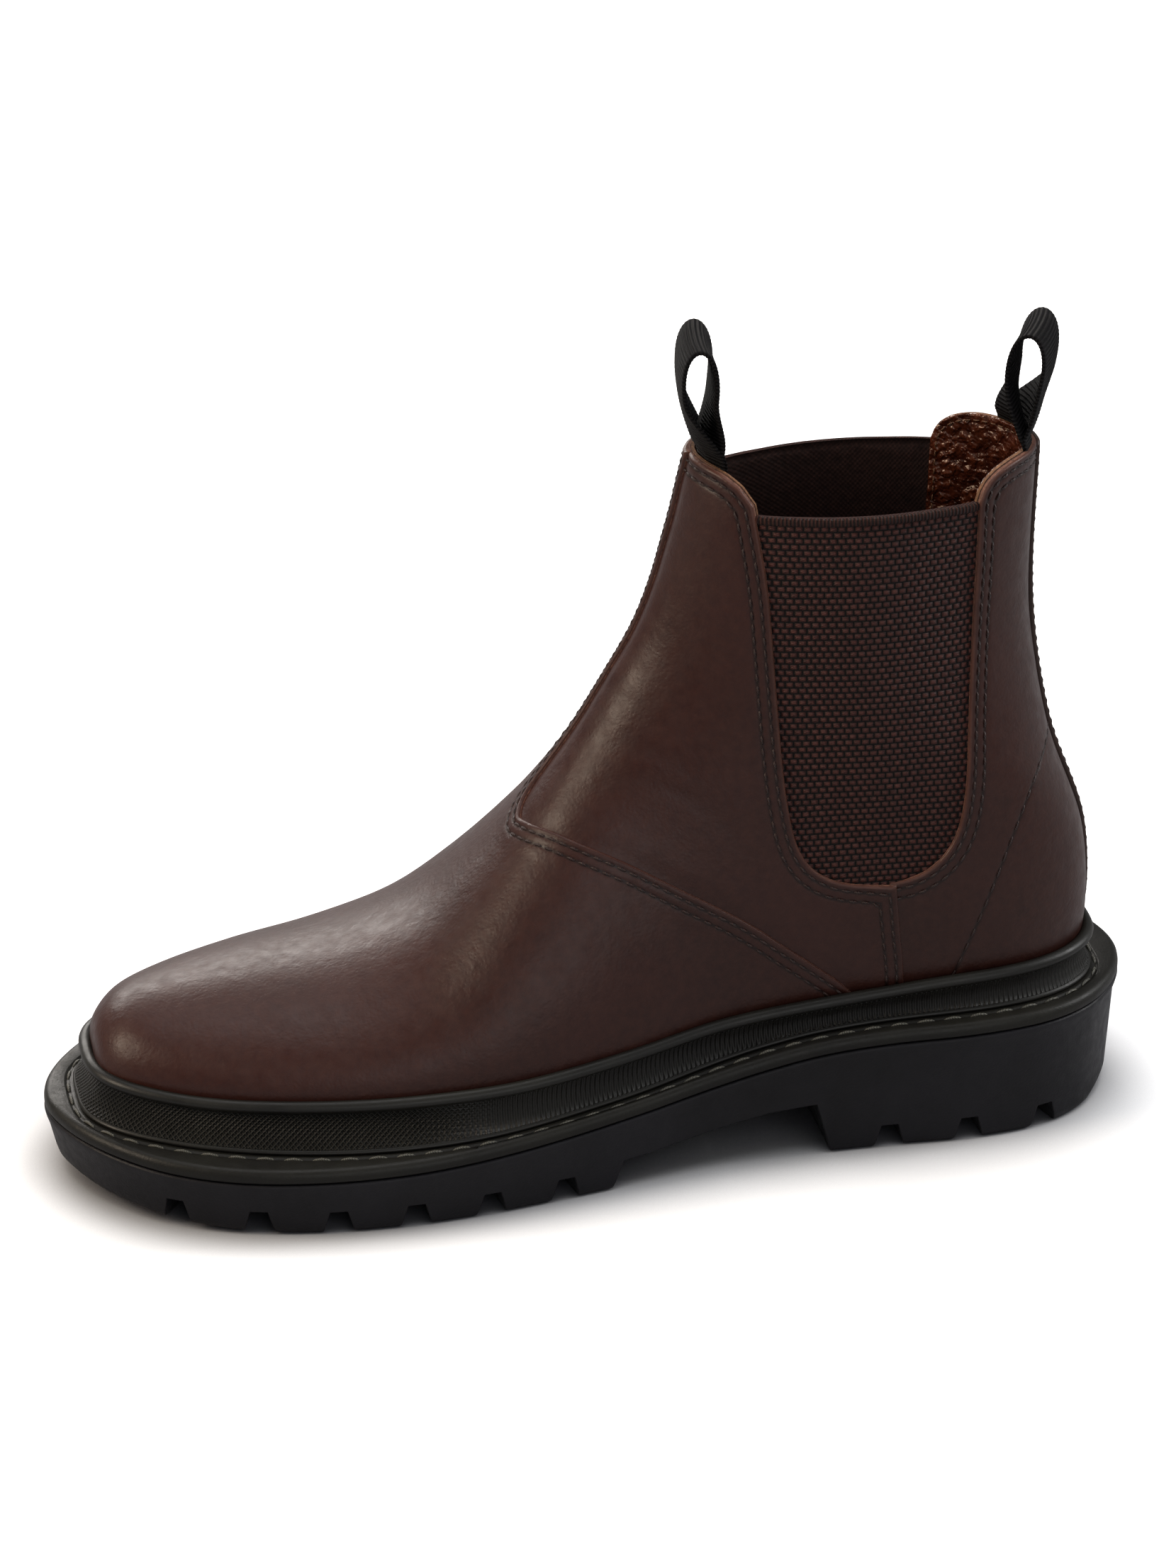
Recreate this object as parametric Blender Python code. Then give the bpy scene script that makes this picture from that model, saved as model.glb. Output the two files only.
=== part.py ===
"""Chelsea boot (right foot of a pair) on a chunky lugged sole, as an assembly of its separate pieces.

Frame: metres, +Z up, floor at Z = 0, toe towards -Y, heel towards +Y, the inner (medial) side towards +X.
Driving dimensions below are millimetres in boot coordinates (a, m, z): a runs from the back of the heel to the
toe, m from the boot's centre line towards the inner side, z up from the floor.
"""

import math

import bmesh
import bpy
import numpy as np

# ---------------------------------------------------------------- driving dimensions (mm)
SOLE_LENGTH = 293.0
SOLE_CENTRE_M = -1.3  # middle between the widest inner and the widest outer point
GAP = 0.3  # clearance kept between neighbouring pieces

# Outsole outline in plan, from the back of the heel to the toe: (a, m) on the inner and on the outer side.
OUTLINE_INNER = [
    (0.0, 0), (2.0, 11), (7.5, 21.5), (16.5, 31.5), (30, 38.5), (50, 41.5), (72, 41.3), (95, 41.8), (118, 44),
    (140, 48.4), (162, 53.3), (184, 57.4), (206, 59.4), (228, 58.5), (249, 54.3), (267, 46), (281, 33), (290.0, 18),
    (293, 5),
]
OUTLINE_OUTER = [
    (0.0, 0), (1.8, -11), (6.5, -22), (15.5, -33), (30, -40.5), (50, -44.5), (72, -46), (95, -46.5), (118, -48.5),
    (140, -53.5), (162, -59), (184, -62), (206, -61.5), (228, -57.5), (249, -50), (266, -39.5), (279.5, -26),
    (289.3, -10), (293, 5),
]

# Heights along the boot: the welt's ledge, and the top of the rand that wraps the upper's foot.
LEDGE = [(0, 33.5), (40, 33), (72, 31.2), (105, 28.3), (140, 23.5), (174, 21), (206, 20.3), (250, 20.8), (295, 23.5)]
RAND_TOP = [
    (0, 51), (50, 50), (73, 48.4), (95, 46.6), (118, 44.4), (141, 41.6), (175, 38.8), (206, 37), (237, 36.2),
    (257, 36.4), (283, 38.5),
]
WELT_THICKNESS = 5.0
UPPER_ABOVE_LEDGE = 0.6

# Loft of the upper: each row is a slice from a point on the front ridge to a point on the sole or the back seam.
# front a, front z, rear a, rear z, inner half width, outer half width, where it is widest (0 front .. 1 rear),
# squareness of the rear half, squareness of the front half, offset of the ridge towards the inner side.
UPPER_ROWS = [
    (279.5, 31.0, 279.5, 25.5, 8.5, -5.5, 0.50, 2.0, 2.0, 7.0),
    (280.0, 36.7, 279.0, 24.0, 15.5, 3.0, 0.52, 2.3, 2.0, 6.5),
    (278.3, 43.2, 276.5, 23.3, 21.5, 8.5, 0.56, 2.8, 2.0, 6.5),
    (271.0, 49.0, 270.0, 22.6, 28.0, 17.0, 0.58, 3.2, 2.0, 6.0),
    (257.0, 51.6, 257.0, 21.8, 35.0, 29.0, 0.60, 3.6, 1.9, 6.0),
    (237.8, 54.0, 238.0, 21.2, 41.5, 39.5, 0.62, 4.0, 1.87, 6.0),
    (215.0, 56.8, 216.0, 20.9, 46.3, 46.5, 0.62, 4.0, 1.85, 6.0),
    (194.5, 64.6, 194.0, 21.0, 48.5, 49.5, 0.66, 4.0, 1.85, 6.0),
    (178.3, 78.0, 172.0, 21.7, 48.5, 50.5, 0.70, 4.0, 1.87, 6.0),
    (164.0, 93.4, 145.0, 23.5, 43.5, 47.5, 0.72, 4.0, 1.9, 4.0),
    (151.2, 110.0, 110.0, 28.3, 35.5, 41.0, 0.72, 4.0, 1.95, 2.0),
    (142.1, 124.4, 70.0, 32.0, 34.0, 38.5, 0.68, 4.2, 2.0, 0.5),
    (133.7, 138.8, 33.0, 33.7, 34.5, 38.5, 0.60, 4.0, 2.0, 0.0),
    (128.8, 151.8, 13.0, 42.0, 34.5, 38.0, 0.53, 2.9, 2.0, 0.0),
    (126.0, 162.5, 11.6, 74.0, 33.5, 36.0, 0.50, 2.4, 2.0, 0.0),
    (124.0, 170.6, 22.5, 106.0, 32.2, 33.0, 0.50, 2.15, 2.0, 0.0),
    (122.2, 178.5, 28.2, 142.0, 31.0, 31.0, 0.50, 2.0, 2.0, 0.0),
    (120.3, 187.1, 27.6, 184.0, 30.0, 30.0, 0.50, 2.0, 2.0, 0.0),
    (118.5, 202.0, 27.0, 200.0, 30.0, 30.0, 0.50, 2.0, 2.0, 0.0),
]
ROWS_PER_STEP = 2  # loft slices between two rows of the table
SLICE_POINTS = 32  # points round one slice

# Layers of the upper, as depths below its outer face.
LEATHER = (0.0, 1.8)
MIDDLE = (2.1, 3.1)  # elastic gores, toe puff and heel counter lie between leather and lining
LINING = (3.4, 4.4)
CAVITY = 4.7
STRIP = (-1.5, -0.3)  # back strip, sewn on over the back seam

# Side-view curves on the upper, (a, z).
GORE_FRONT = [(107.6, 179.5), (104.4, 158), (102.6, 135), (100.8, 111.5), (99.2, 98), (96.6, 87), (91.6, 80), (83.5, 76.3)]
GORE_REAR = [(72, 75.4), (62.4, 78.4), (55.5, 85.5), (52.2, 97), (50.8, 117), (49.5, 140), (48.5, 159.5), (48, 178)]
EAR_FRONT = [(126, 188), (121, 187.6), (115, 186.3), (110.8, 183.8)]
EAR_REAR = [(46.2, 181.5), (42.5, 184), (37, 185.4), (30, 185.4), (16, 185)]
GORE_TOP_Z = 177.0
GORE_OVERLAP = 7.0
OUTER_GORE_DROP = 4.0  # the outer side's gore reaches this much lower
INNER_SEAM = [
    (176, 88.6), (168, 89.8), (164.8, 91.5), (157, 91.6), (142.4, 86.1), (127, 77.6), (111, 68.1),
    (99.7, 59.4), (89.7, 51.6), (82.9, 45.5), (77, 37), (73, 27), (71.5, 15),
]
SHIN_SEAM_M = -1.2
SIDE_SEAM = [(70.6, 78), (69.2, 61), (67.6, 46), (67, 15)]
COUNTER_LINE = [(0, 103), (24, 103), (31, 99.5), (37.5, 88), (42, 74), (47, 62), (53, 49), (56, 38), (58, 15)]
TOE_PUFF_A = 238.0
REAR_COLLAR_Z = 148.0
FRONT_COLLAR_Z = 160.0
BACK_STRIP_HALF_WIDTH = 4.5
LASTING_MARGIN = 15.0

# Bottom stack above the leather's under face.
BOARD = (2.3, 4.1)
LINING_FOOT = 6.2
FOOTBED = (5.0, 8.8)
FILLER_A = (163.0, 266.0)
SHANK_A = (58.0, 158.0)
SHANK_HALF_WIDTH = 7.0
SHANK_HEIGHT = (0.6, 1.9)

# Rand profile as (distance outside the upper, height): its foot counts from the ledge, its lip from the rand's top.
RAND_LEVEL = 10.0
RAND_FOOT = [(-6.0, 0.3), (2.6, 0.3), (3.1, 1.3), (2.6, 2.3)]
RAND_LIP = [(2.3, -5.2), (3.2, -4.2), (3.5, -2.6), (2.9, -0.9), (1.4, 0.0), (-6.0, 0.0)]
RAND_POINTS = 64
SLAB_SETBACK = 0.4  # extra clearance of the insole board and the footbed from the wall round them
THREAD_OFFSET = 5.0
THREAD_RADIUS = 0.5

# Outsole: heel block, arch, tread.
ARCH_GAP = [
    (87.4, -5.0), (87.8, 0.0), (92.2, 15.5), (105, 14.8), (122, 12.2), (138, 9.4), (146, 8.6), (149, 0.0), (149.5, -5.0),
]
TOE_SPRING = 5.5
TOE_SPRING_FROM = 225.0
HEEL_BEVEL = 13.0
HEEL_BEVEL_RISE = 0.33
SIDE_TAPER = 4.6
NOTCH_PITCH = 20.3
NOTCH_FIRST_A = 263.6
NOTCH_COUNT = 6
HEEL_NOTCH_A = (71.9, 50.1, 28.4)
NOTCH_WIDTH = (8.4, 4.2)
NOTCH_HEIGHT = 5.4
NOTCH_REACH = (-6.0, 14.0)
CENTRE_GROOVE = (5.0, 3.4, 4.0)  # width at the floor, width at its roof, depth
CENTRE_GROOVE_HALF = 20.0

# Pull loops: 25 mm tape folded into a drop shape, hinged where it leaves the top line.
TAPE_WIDTH = 25.0
TAPE_THICKNESS = 1.3
LOOP_HEIGHT = 29.0
LOOP_SPREAD = 7.4
LOOP_FOOT_DROP = 0.5  # how far the loop reaches below its hinge axis
FRONT_LOOP_AXIS = (117.7, 189.5)
REAR_LOOP_AXIS = (30.2, 186.9)
FRONT_LOOP_LEAN = 1.0  # degrees towards the toe
REAR_LOOP_LEAN = -6.0


# ---------------------------------------------------------------- curves
def hermite(values, t):
    """Smooth curve through evenly numbered values (rows of numbers), read at the parameters t."""
    values = np.asarray(values, float)
    t = np.asarray(t, float)
    slope = np.empty_like(values)
    slope[1:-1] = (values[2:] - values[:-2]) / 2
    slope[0] = values[1] - values[0]
    slope[-1] = values[-1] - values[-2]
    i = np.clip(np.floor(t).astype(int), 0, len(values) - 2)
    s = (t - i)[:, None]
    start = (1 + 2 * s) * (1 - s) ** 2 * values[i] + s * (1 - s) ** 2 * slope[i]
    end = s * s * (3 - 2 * s) * values[i + 1] + s * s * (s - 1) * slope[i + 1]
    return start + end


def height_along(table, a):
    """Height of a side-view profile at the distances a."""
    knots = np.array(table, float)
    fine = hermite(knots, np.linspace(0, len(knots) - 1, 12 * len(knots)))
    return np.interp(a, fine[:, 0], fine[:, 1])


def dense(points, steps=3):
    """A smooth polyline through side-view points."""
    return hermite(points, np.linspace(0, len(points) - 1, steps * (len(points) - 1) + 1))


def closed_curve(points, per_segment):
    """Catmull-Rom loop through plan points."""
    p = np.array(points, float)
    count = len(p)
    t = np.arange(count * per_segment) / per_segment
    i = np.floor(t).astype(int)
    s = (t - i)[:, None]
    p0, p1, p2, p3 = p[(i - 1) % count], p[i % count], p[(i + 1) % count], p[(i + 2) % count]
    return 0.5 * (2 * p1 + (p2 - p0) * s + (2 * p0 - 5 * p1 + 4 * p2 - p3) * s**2 + (3 * p1 - p0 - 3 * p2 + p3) * s**3)


def outward(loop):
    """Unit normals of a closed plan loop, pointing away from its inside."""
    along = np.roll(loop, -1, 0) - np.roll(loop, 1, 0)
    normal = np.column_stack([along[:, 1], -along[:, 0]])
    normal /= np.linalg.norm(normal, axis=1)[:, None]
    x, y = loop.T
    area = np.sum(x * np.roll(y, -1) - y * np.roll(x, -1))
    return normal * np.sign(area)


def ledge(a):
    return height_along(LEDGE, a)


def under_upper(a):
    return ledge(a) + UPPER_ABOVE_LEDGE


def sole_bottom(a):
    """Walking surface: flat, with toe spring at the front and a bevel at the back of the heel."""
    toe = np.clip((a - TOE_SPRING_FROM) / (SOLE_LENGTH - TOE_SPRING_FROM), 0, None)
    heel = np.clip(HEEL_BEVEL - a, 0, None)
    return TOE_SPRING * toe**1.8 + HEEL_BEVEL_RISE * heel


# ---------------------------------------------------------------- the upper's surface
def upper_grid():
    """Points of the upper's outer face, as slices by points round the slice."""
    count = (len(UPPER_ROWS) - 1) * ROWS_PER_STEP + 1
    row = hermite(UPPER_ROWS, np.linspace(0, len(UPPER_ROWS) - 1, count))
    angle = 2 * np.pi * np.arange(SLICE_POINTS) / SLICE_POINTS
    cos, sin = np.cos(angle)[None], np.sin(angle)[None]
    front = cos >= 0
    power = 2 / np.where(front, row[:, 8:9], row[:, 7:8])
    widest, ridge = row[:, 6:7], row[:, 9:10]
    reach = np.abs(cos) ** power
    along = np.where(front, widest * (1 - reach), widest + (1 - widest) * reach)
    spread = np.abs(sin) ** power
    m = np.where(sin >= 0, ridge + (row[:, 4:5] - ridge) * spread, ridge - (row[:, 5:6] + ridge) * spread)
    a = row[:, 0:1] + (row[:, 2:3] - row[:, 0:1]) * along
    z = row[:, 1:2] + (row[:, 3:4] - row[:, 1:2]) * along
    return np.stack([a, m, z], -1)


GRID = upper_grid()


def offset_grid(grid, depth):
    """The surface moved inwards by depth along its normals."""
    across = np.roll(grid, -1, 1) - np.roll(grid, 1, 1)
    along = np.gradient(grid, axis=0)
    normal = np.cross(across, along)
    normal *= np.sign(((grid - grid.mean(axis=1, keepdims=True)) * normal).sum())
    normal /= np.linalg.norm(normal, axis=2)[:, :, None]
    normal[0] = (1.0, 0.0, 0.0)
    return grid - normal * depth


def outline_at(grid, rise):
    """Plan loop of the upper at a height above the ledge, found on every slice from its rear point upwards."""
    half = SLICE_POINTS // 2
    sides = []
    for order in (range(half, -1, -1), range(half, SLICE_POINTS + 1)):
        points = []
        for slice_points in grid:
            line = slice_points[[k % SLICE_POINTS for k in order]]
            level = line[:, 2] - ledge(line[:, 0]) - rise
            above = np.nonzero(level > 0)[0]
            if level[0] > 0 or len(above) == 0:
                continue
            k = above[0]
            share = level[k - 1] / (level[k - 1] - level[k])
            points.append((line[k - 1] + (line[k] - line[k - 1]) * share)[:2])
        sides.append(np.array(points))
    return np.concatenate([sides[0][::-1], sides[1]])


def even_loop(loop, count):
    """The same closed loop with count points at equal distances."""
    closed = np.vstack([loop, loop[:1]])
    reach = np.concatenate([[0], np.cumsum(np.linalg.norm(np.diff(closed, axis=0), axis=1))])
    at = np.linspace(0, reach[-1], count, endpoint=False)
    return np.column_stack([np.interp(at, reach, closed[:, k]) for k in range(2)])


def smooth_loop(loop, passes):
    for _ in range(passes):
        loop = 0.25 * np.roll(loop, 1, 0) + 0.5 * loop + 0.25 * np.roll(loop, -1, 0)
    return loop


# ---------------------------------------------------------------- meshes
def to_world(points):
    """Boot coordinates in millimetres to the part's frame in metres."""
    p = np.asarray(points, float)
    return np.column_stack([p[:, 1] - SOLE_CENTRE_M, SOLE_LENGTH / 2 - p[:, 0], p[:, 2]]) * 0.001


def new_object(name, points, faces):
    mesh = bpy.data.meshes.new(name)
    mesh.from_pydata([tuple(p) for p in to_world(points)], [], [tuple(int(i) for i in f) for f in faces])
    obj = bpy.data.objects.new(name, mesh)
    bpy.context.scene.collection.objects.link(obj)
    fix_normals(obj)
    return obj


def fix_normals(obj):
    bm = bmesh.new()
    bm.from_mesh(obj.data)
    bmesh.ops.recalc_face_normals(bm, faces=bm.faces[:])
    if bm.calc_volume(signed=True) < 0:
        bmesh.ops.reverse_faces(bm, faces=bm.faces[:])
    bm.to_mesh(obj.data)
    bm.free()


def tube_faces(rings, count, closed=False):
    faces = []
    last = rings if closed else rings - 1
    for i in range(last):
        for j in range(count):
            k = (j + 1) % count
            n = (i + 1) % rings
            faces.append((i * count + j, i * count + k, n * count + k, n * count + j))
    return faces


def solid_volume(name, depth, top_up=0.0):
    """Everything inside the upper's surface at a depth, as a closed body."""
    grid = offset_grid(GRID, depth)
    if top_up:
        grid = np.concatenate([grid, grid[-1:] + np.array([0, 0, top_up])])
    rings, count = grid.shape[:2]
    points = np.vstack([grid.reshape(-1, 3), grid[0].mean(0), grid[-1].mean(0)])
    faces = tube_faces(rings, count)
    tip, top = rings * count, rings * count + 1
    for j in range(count):
        k = (j + 1) % count
        faces.append((j, tip, k))
        faces.append(((rings - 1) * count + j, (rings - 1) * count + k, top))
    return new_object(name, points, faces)


def layer_shell(name, layer):
    """The upper's surface between two depths, open at the top of the shaft."""
    outer, inner = offset_grid(GRID, layer[0]), offset_grid(GRID, layer[1])
    rings, count = outer.shape[:2]
    size = rings * count
    points = np.vstack([outer.reshape(-1, 3), inner.reshape(-1, 3), outer[0].mean(0), inner[0].mean(0)])
    faces = tube_faces(rings, count)
    faces += [tuple(size + i for i in reversed(f)) for f in tube_faces(rings, count)]
    for j in range(count):
        k = (j + 1) % count
        faces.append((j, 2 * size, k))
        faces.append((size + k, 2 * size + 1, size + j))
        top = (rings - 1) * count
        faces.append((top + j, top + k, size + top + k, size + top + j))
    return new_object(name, points, faces)


def side_prism(name, outline, low_m, high_m):
    """A side-view polygon (a, z) pulled across the boot."""
    outline = np.asarray(outline, float)
    count = len(outline)
    points = []
    for m in (low_m, high_m):
        points += [(a, m, z) for a, z in outline]
    faces = [tuple(range(count)), tuple(range(2 * count - 1, count - 1, -1))]
    for j in range(count):
        k = (j + 1) % count
        faces.append((j, count + j, count + k, k))
    return new_object(name, points, faces)


def ribbon(name, line, low_m, high_m, width=GAP):
    """A thin wall that follows a side-view line, used to part two panels."""
    line = np.asarray(line, float)
    along = np.gradient(line, axis=0)
    normal = np.column_stack([-along[:, 1], along[:, 0]])
    normal *= width / 2 / np.linalg.norm(normal, axis=1)[:, None]
    return side_prism(name, np.vstack([line + normal, (line - normal)[::-1]]), low_m, high_m)


def band_body(name, loop, low, high):
    """A slab with a plan outline and a lower and an upper height profile along the boot."""
    low_ring = np.column_stack([loop, low(loop[:, 0])])
    high_ring = np.column_stack([loop, high(loop[:, 0])])
    return loft(name, [low_ring, high_ring])


def loft(name, rings):
    """Closed body through rings of equal size; its end faces are strips between opposite points."""
    count = len(rings[0])
    faces = tube_faces(len(rings), count)
    for base in (0, (len(rings) - 1) * count):
        faces.append((base, base + 1, base + count - 1))
        for j in range(1, count // 2 - 1):
            faces.append((base + j, base + j + 1, base + count - j - 1, base + count - j))
        middle = count // 2
        faces.append((base + middle - 1, base + middle, base + middle + 1))
    return new_object(name, np.vstack(rings), faces)


def combine(target, others, operation):
    """Boolean of target with each of the others, which are used up."""
    for other in others:
        modifier = target.modifiers.new("cut", "BOOLEAN")
        modifier.operation = operation
        modifier.solver = "EXACT"
        modifier.use_self = True
        modifier.object = other
        depsgraph = bpy.context.evaluated_depsgraph_get()
        mesh = bpy.data.meshes.new_from_object(target.evaluated_get(depsgraph))
        target.modifiers.clear()
        old = target.data
        target.data = mesh
        bpy.data.meshes.remove(old)
        remove(other)
    return target


def remove(obj):
    mesh = obj.data
    bpy.data.objects.remove(obj)
    bpy.data.meshes.remove(mesh)


def copy_of(obj, name):
    twin = obj.copy()
    twin.data = obj.data.copy()
    twin.name = name
    bpy.context.scene.collection.objects.link(twin)
    return twin


def bodies_of(obj):
    """Splits a mesh into its separate closed bodies, largest first, and removes the original."""
    bm = bmesh.new()
    bm.from_mesh(obj.data)
    bmesh.ops.dissolve_degenerate(bm, edges=bm.edges[:], dist=1e-6)
    bm.faces.index_update()
    group = {}
    found = []
    for start in bm.faces:
        if start.index in group:
            continue
        members, stack = [], [start]
        group[start.index] = len(found)
        while stack:
            face = stack.pop()
            members.append(face)
            for edge in face.edges:
                if len(edge.link_faces) != 2:
                    continue
                for near in edge.link_faces:
                    if near.index not in group:
                        group[near.index] = len(found)
                        stack.append(near)
        found.append(members)
    results = []
    for members in found:
        verts = {}
        for face in members:
            for vert in face.verts:
                verts.setdefault(vert.index, (len(verts), tuple(vert.co)))
        faces = [[verts[vert.index][0] for vert in face.verts] for face in members]
        mesh = bpy.data.meshes.new("body")
        mesh.from_pydata([co for _, co in verts.values()], [], faces)
        piece = bpy.data.objects.new("body", mesh)
        bpy.context.scene.collection.objects.link(piece)
        results.append(piece)
    bm.free()
    remove(obj)
    results.sort(key=lambda o: -body_volume(o))
    return results


def body_volume(obj):
    bm = bmesh.new()
    bm.from_mesh(obj.data)
    volume = bm.calc_volume(signed=True)
    bm.free()
    return volume


def centre_of(obj):
    points = np.array([tuple(v.co) for v in obj.data.vertices])
    return points.mean(0)


def keep_largest(obj, name):
    pieces = bodies_of(obj)
    for spare in pieces[1:]:
        remove(spare)
    pieces[0].name = name
    pieces[0].data.name = name
    return pieces[0]


# ---------------------------------------------------------------- cutters for the upper's panels
def gore_path(drop):
    """The U-shaped edge of a gore, from its front top round the bottom to its rear top."""
    path = dense(GORE_FRONT + GORE_REAR, 2)
    path[:, 1] -= drop * np.clip((125 - path[:, 1]) / 45, 0, 1)
    return path


def above_top_line(name, side):
    """Everything above the ears and inside the gore's U on one side of the boot."""
    drop = 0.0 if side > 0 else OUTER_GORE_DROP
    edge = np.vstack([dense(EAR_FRONT, 2), gore_path(drop), dense(EAR_REAR, 2)])
    outline = np.vstack([[(160, 240), (160, 188)], edge, [(-20, 185), (-20, 240)]])
    low, high = (-0.4, 95) if side > 0 else (-95, 0.4)
    return side_prism(name, outline, low, high)


def long_slab(name, low, high, span=(-12.0, 305.0), half_width=95.0):
    """Body between two height profiles along the boot."""
    a = np.linspace(*span, 40)
    rings = []
    for m, z in ((-half_width, low), (half_width, low), (half_width, high), (-half_width, high)):
        rings.append(np.column_stack([a, np.full(len(a), m), z(a)]))
    points = np.stack(rings, 1).reshape(-1, 3)
    faces = tube_faces(len(a), 4)
    end = 4 * (len(a) - 1)
    faces += [(0, 1, 2, 3), (end, end + 1, end + 2, end + 3)]
    return new_object(name, points, faces)


def below_profile(name, rise):
    """Everything lower than a height above the leather's under face, over the whole boot."""
    return long_slab(name, lambda a: np.full(len(a), -30.0), lambda a: under_upper(a) + rise)


def slab(name, low, high):
    """Everything between two heights above the leather's under face."""
    return long_slab(name, lambda a: under_upper(a) + low, lambda a: under_upper(a) + high)


def cut_top_line(obj):
    return combine(obj, [above_top_line("top_inner", 1), above_top_line("top_outer", -1)], "DIFFERENCE")


# ---------------------------------------------------------------- upper
def leather_panels():
    """Vamp with the outer front quarter, inner quarter and the two heel quarters, parted by the real seams."""
    shell = cut_top_line(layer_shell("leather", LEATHER))
    bottom_loop = inset_loop(upper_loop(RAND_LEVEL), LASTING_MARGIN)
    hole = band_body("lasting_hole", bottom_loop, lambda a: under_upper(a) - 9, lambda a: under_upper(a) + 5)
    shin_outline = [(168, 210), (90, 210), (90, 130)] + INNER_SEAM[4:0:-1]
    shin = side_prism("shin_seam", shin_outline, SHIN_SEAM_M - GAP / 2, SHIN_SEAM_M + GAP / 2)
    inner = ribbon("inner_seam", dense(INNER_SEAM, 2), SHIN_SEAM_M - GAP / 2, 95)
    side_inner = ribbon("side_seam_inner", dense(SIDE_SEAM), 10, 95)
    side_outer = ribbon("side_seam_outer", dense(SIDE_SEAM), -95, -10)
    back = side_prism("back_seam", [(-12, 20), (60, 20), (60, 200), (-12, 200)], -GAP / 2, GAP / 2)
    combine(shell, [hole, shin, inner, side_inner, side_outer, back], "DIFFERENCE")
    pieces = bodies_of(shell)
    names = {"vamp": pieces[0]}
    for piece in pieces[1:4]:
        x, y, _ = centre_of(piece)
        if y < 0.07:
            names["medial_quarter"] = piece
        else:
            names["heel_quarter_medial" if x > 0 else "heel_quarter_lateral"] = piece
    for name, piece in names.items():
        piece.name = name
    for spare in pieces[4:]:
        remove(spare)
    return names


def gore(name, side):
    drop = 0.0 if side > 0 else OUTER_GORE_DROP
    path = gore_path(drop)
    along = np.gradient(path, axis=0)
    normal = np.column_stack([-along[:, 1], along[:, 0]])
    edge = path + normal / np.linalg.norm(normal, axis=1)[:, None] * GORE_OVERLAP
    edge = edge[edge[:, 1] < GORE_TOP_Z - 3]
    outline = np.vstack([[(edge[0, 0] + 0.8, GORE_TOP_Z)], edge, [(edge[-1, 0] - 0.3, GORE_TOP_Z)]])
    low, high = (8, 95) if side > 0 else (-95, -8)
    piece = layer_shell(name, MIDDLE)
    combine(piece, [side_prism("window", outline, low, high)], "INTERSECT")
    return keep_largest(piece, name)


def toe_puff():
    piece = layer_shell("toe_puff", MIDDLE)
    front = side_prism("front", [(TOE_PUFF_A, -10), (310, -10), (310, 120), (TOE_PUFF_A - 8, 120)], -95, 95)
    combine(piece, [front], "INTERSECT")
    combine(piece, [below_profile("below", LINING_FOOT)], "DIFFERENCE")
    return keep_largest(piece, "toe_puff")


def heel_counter():
    piece = layer_shell("heel_counter", MIDDLE)
    outline = np.vstack([[(-12, 15), (-12, 103)], dense(COUNTER_LINE, 2)])
    combine(piece, [side_prism("heel", outline, -95, 95)], "INTERSECT")
    combine(piece, [below_profile("below", LINING_FOOT)], "DIFFERENCE")
    return keep_largest(piece, "heel_counter")


def linings():
    """Textile foot and shaft lining, with leather collar patches at the front and the rear of the top line."""
    shell = cut_top_line(layer_shell("lining", LINING))
    rear = side_prism("rear_cut", box(-12, 58, REAR_COLLAR_Z - GAP / 2, REAR_COLLAR_Z + GAP / 2), -95, 95)
    front = side_prism("front_cut", box(90, 150, FRONT_COLLAR_Z - GAP / 2, FRONT_COLLAR_Z + GAP / 2), -95, 95)
    combine(shell, [below_profile("below", LINING_FOOT), rear, front], "DIFFERENCE")
    pieces = bodies_of(shell)
    names = {"foot_lining": pieces[0]}
    for piece in pieces[1:3]:
        y = centre_of(piece)[1]
        names["rear_collar_lining" if y > 0.075 else "front_collar_lining"] = piece
    for name, piece in names.items():
        piece.name = name
    for spare in pieces[3:]:
        remove(spare)
    return names


def box(low_a, high_a, low_z, high_z):
    return [(low_a, low_z), (high_a, low_z), (high_a, high_z), (low_a, high_z)]


def back_strip():
    piece = layer_shell("back_strip", STRIP)
    low = RAND_TOP[0][1] + 0.6
    window = side_prism("strip", box(-12, 60, low, EAR_REAR[-1][1] - 0.3), -BACK_STRIP_HALF_WIDTH, BACK_STRIP_HALF_WIDTH)
    combine(piece, [window], "INTERSECT")
    return keep_largest(piece, "back_strip")


# ---------------------------------------------------------------- bottom
def upper_loop(rise, depth=0.0):
    """Plan loop of the upper's surface, or of the surface at a depth, at a height above the ledge."""
    grid = offset_grid(GRID, depth) if depth else GRID
    return even_loop(smooth_loop(even_loop(outline_at(grid, rise), 4 * RAND_POINTS), 4), RAND_POINTS)


def inset_loop(loop, distance):
    return loop - outward(loop) * distance


def sole_loop(inset=0.0):
    loop = closed_curve(OUTLINE_INNER + OUTLINE_OUTER[-2:0:-1], 2)
    return loop - outward(loop) * inset


def ring(loop, height):
    return np.column_stack([loop, height(loop[:, 0])])


def inner_slab(name, low, high, depth):
    """Slab that fills the plan of the upper at a depth, with its edge following the upper's curve."""
    rings = []
    for rise in np.linspace(low, high, 3):
        loop = inset_loop(upper_loop(rise + UPPER_ABOVE_LEDGE, depth), SLAB_SETBACK)
        rings.append(np.column_stack([loop, under_upper(loop[:, 0]) + rise]))
    return loft(name, rings)


def insole_board():
    return inner_slab("insole_board", *BOARD, MIDDLE[0])


def footbed():
    return inner_slab("footbed", *FOOTBED, CAVITY)


def bottom_filler():
    loop = inset_loop(upper_loop(RAND_LEVEL), LASTING_MARGIN + 1.0)
    piece = band_body("bottom_filler", loop, lambda a: ledge(a) + 0.3, lambda a: under_upper(a) + 1.9)
    low, high = FILLER_A
    return combine(piece, [side_prism("fore", box(low, high, 0, 60), -95, 95)], "INTERSECT")


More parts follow.
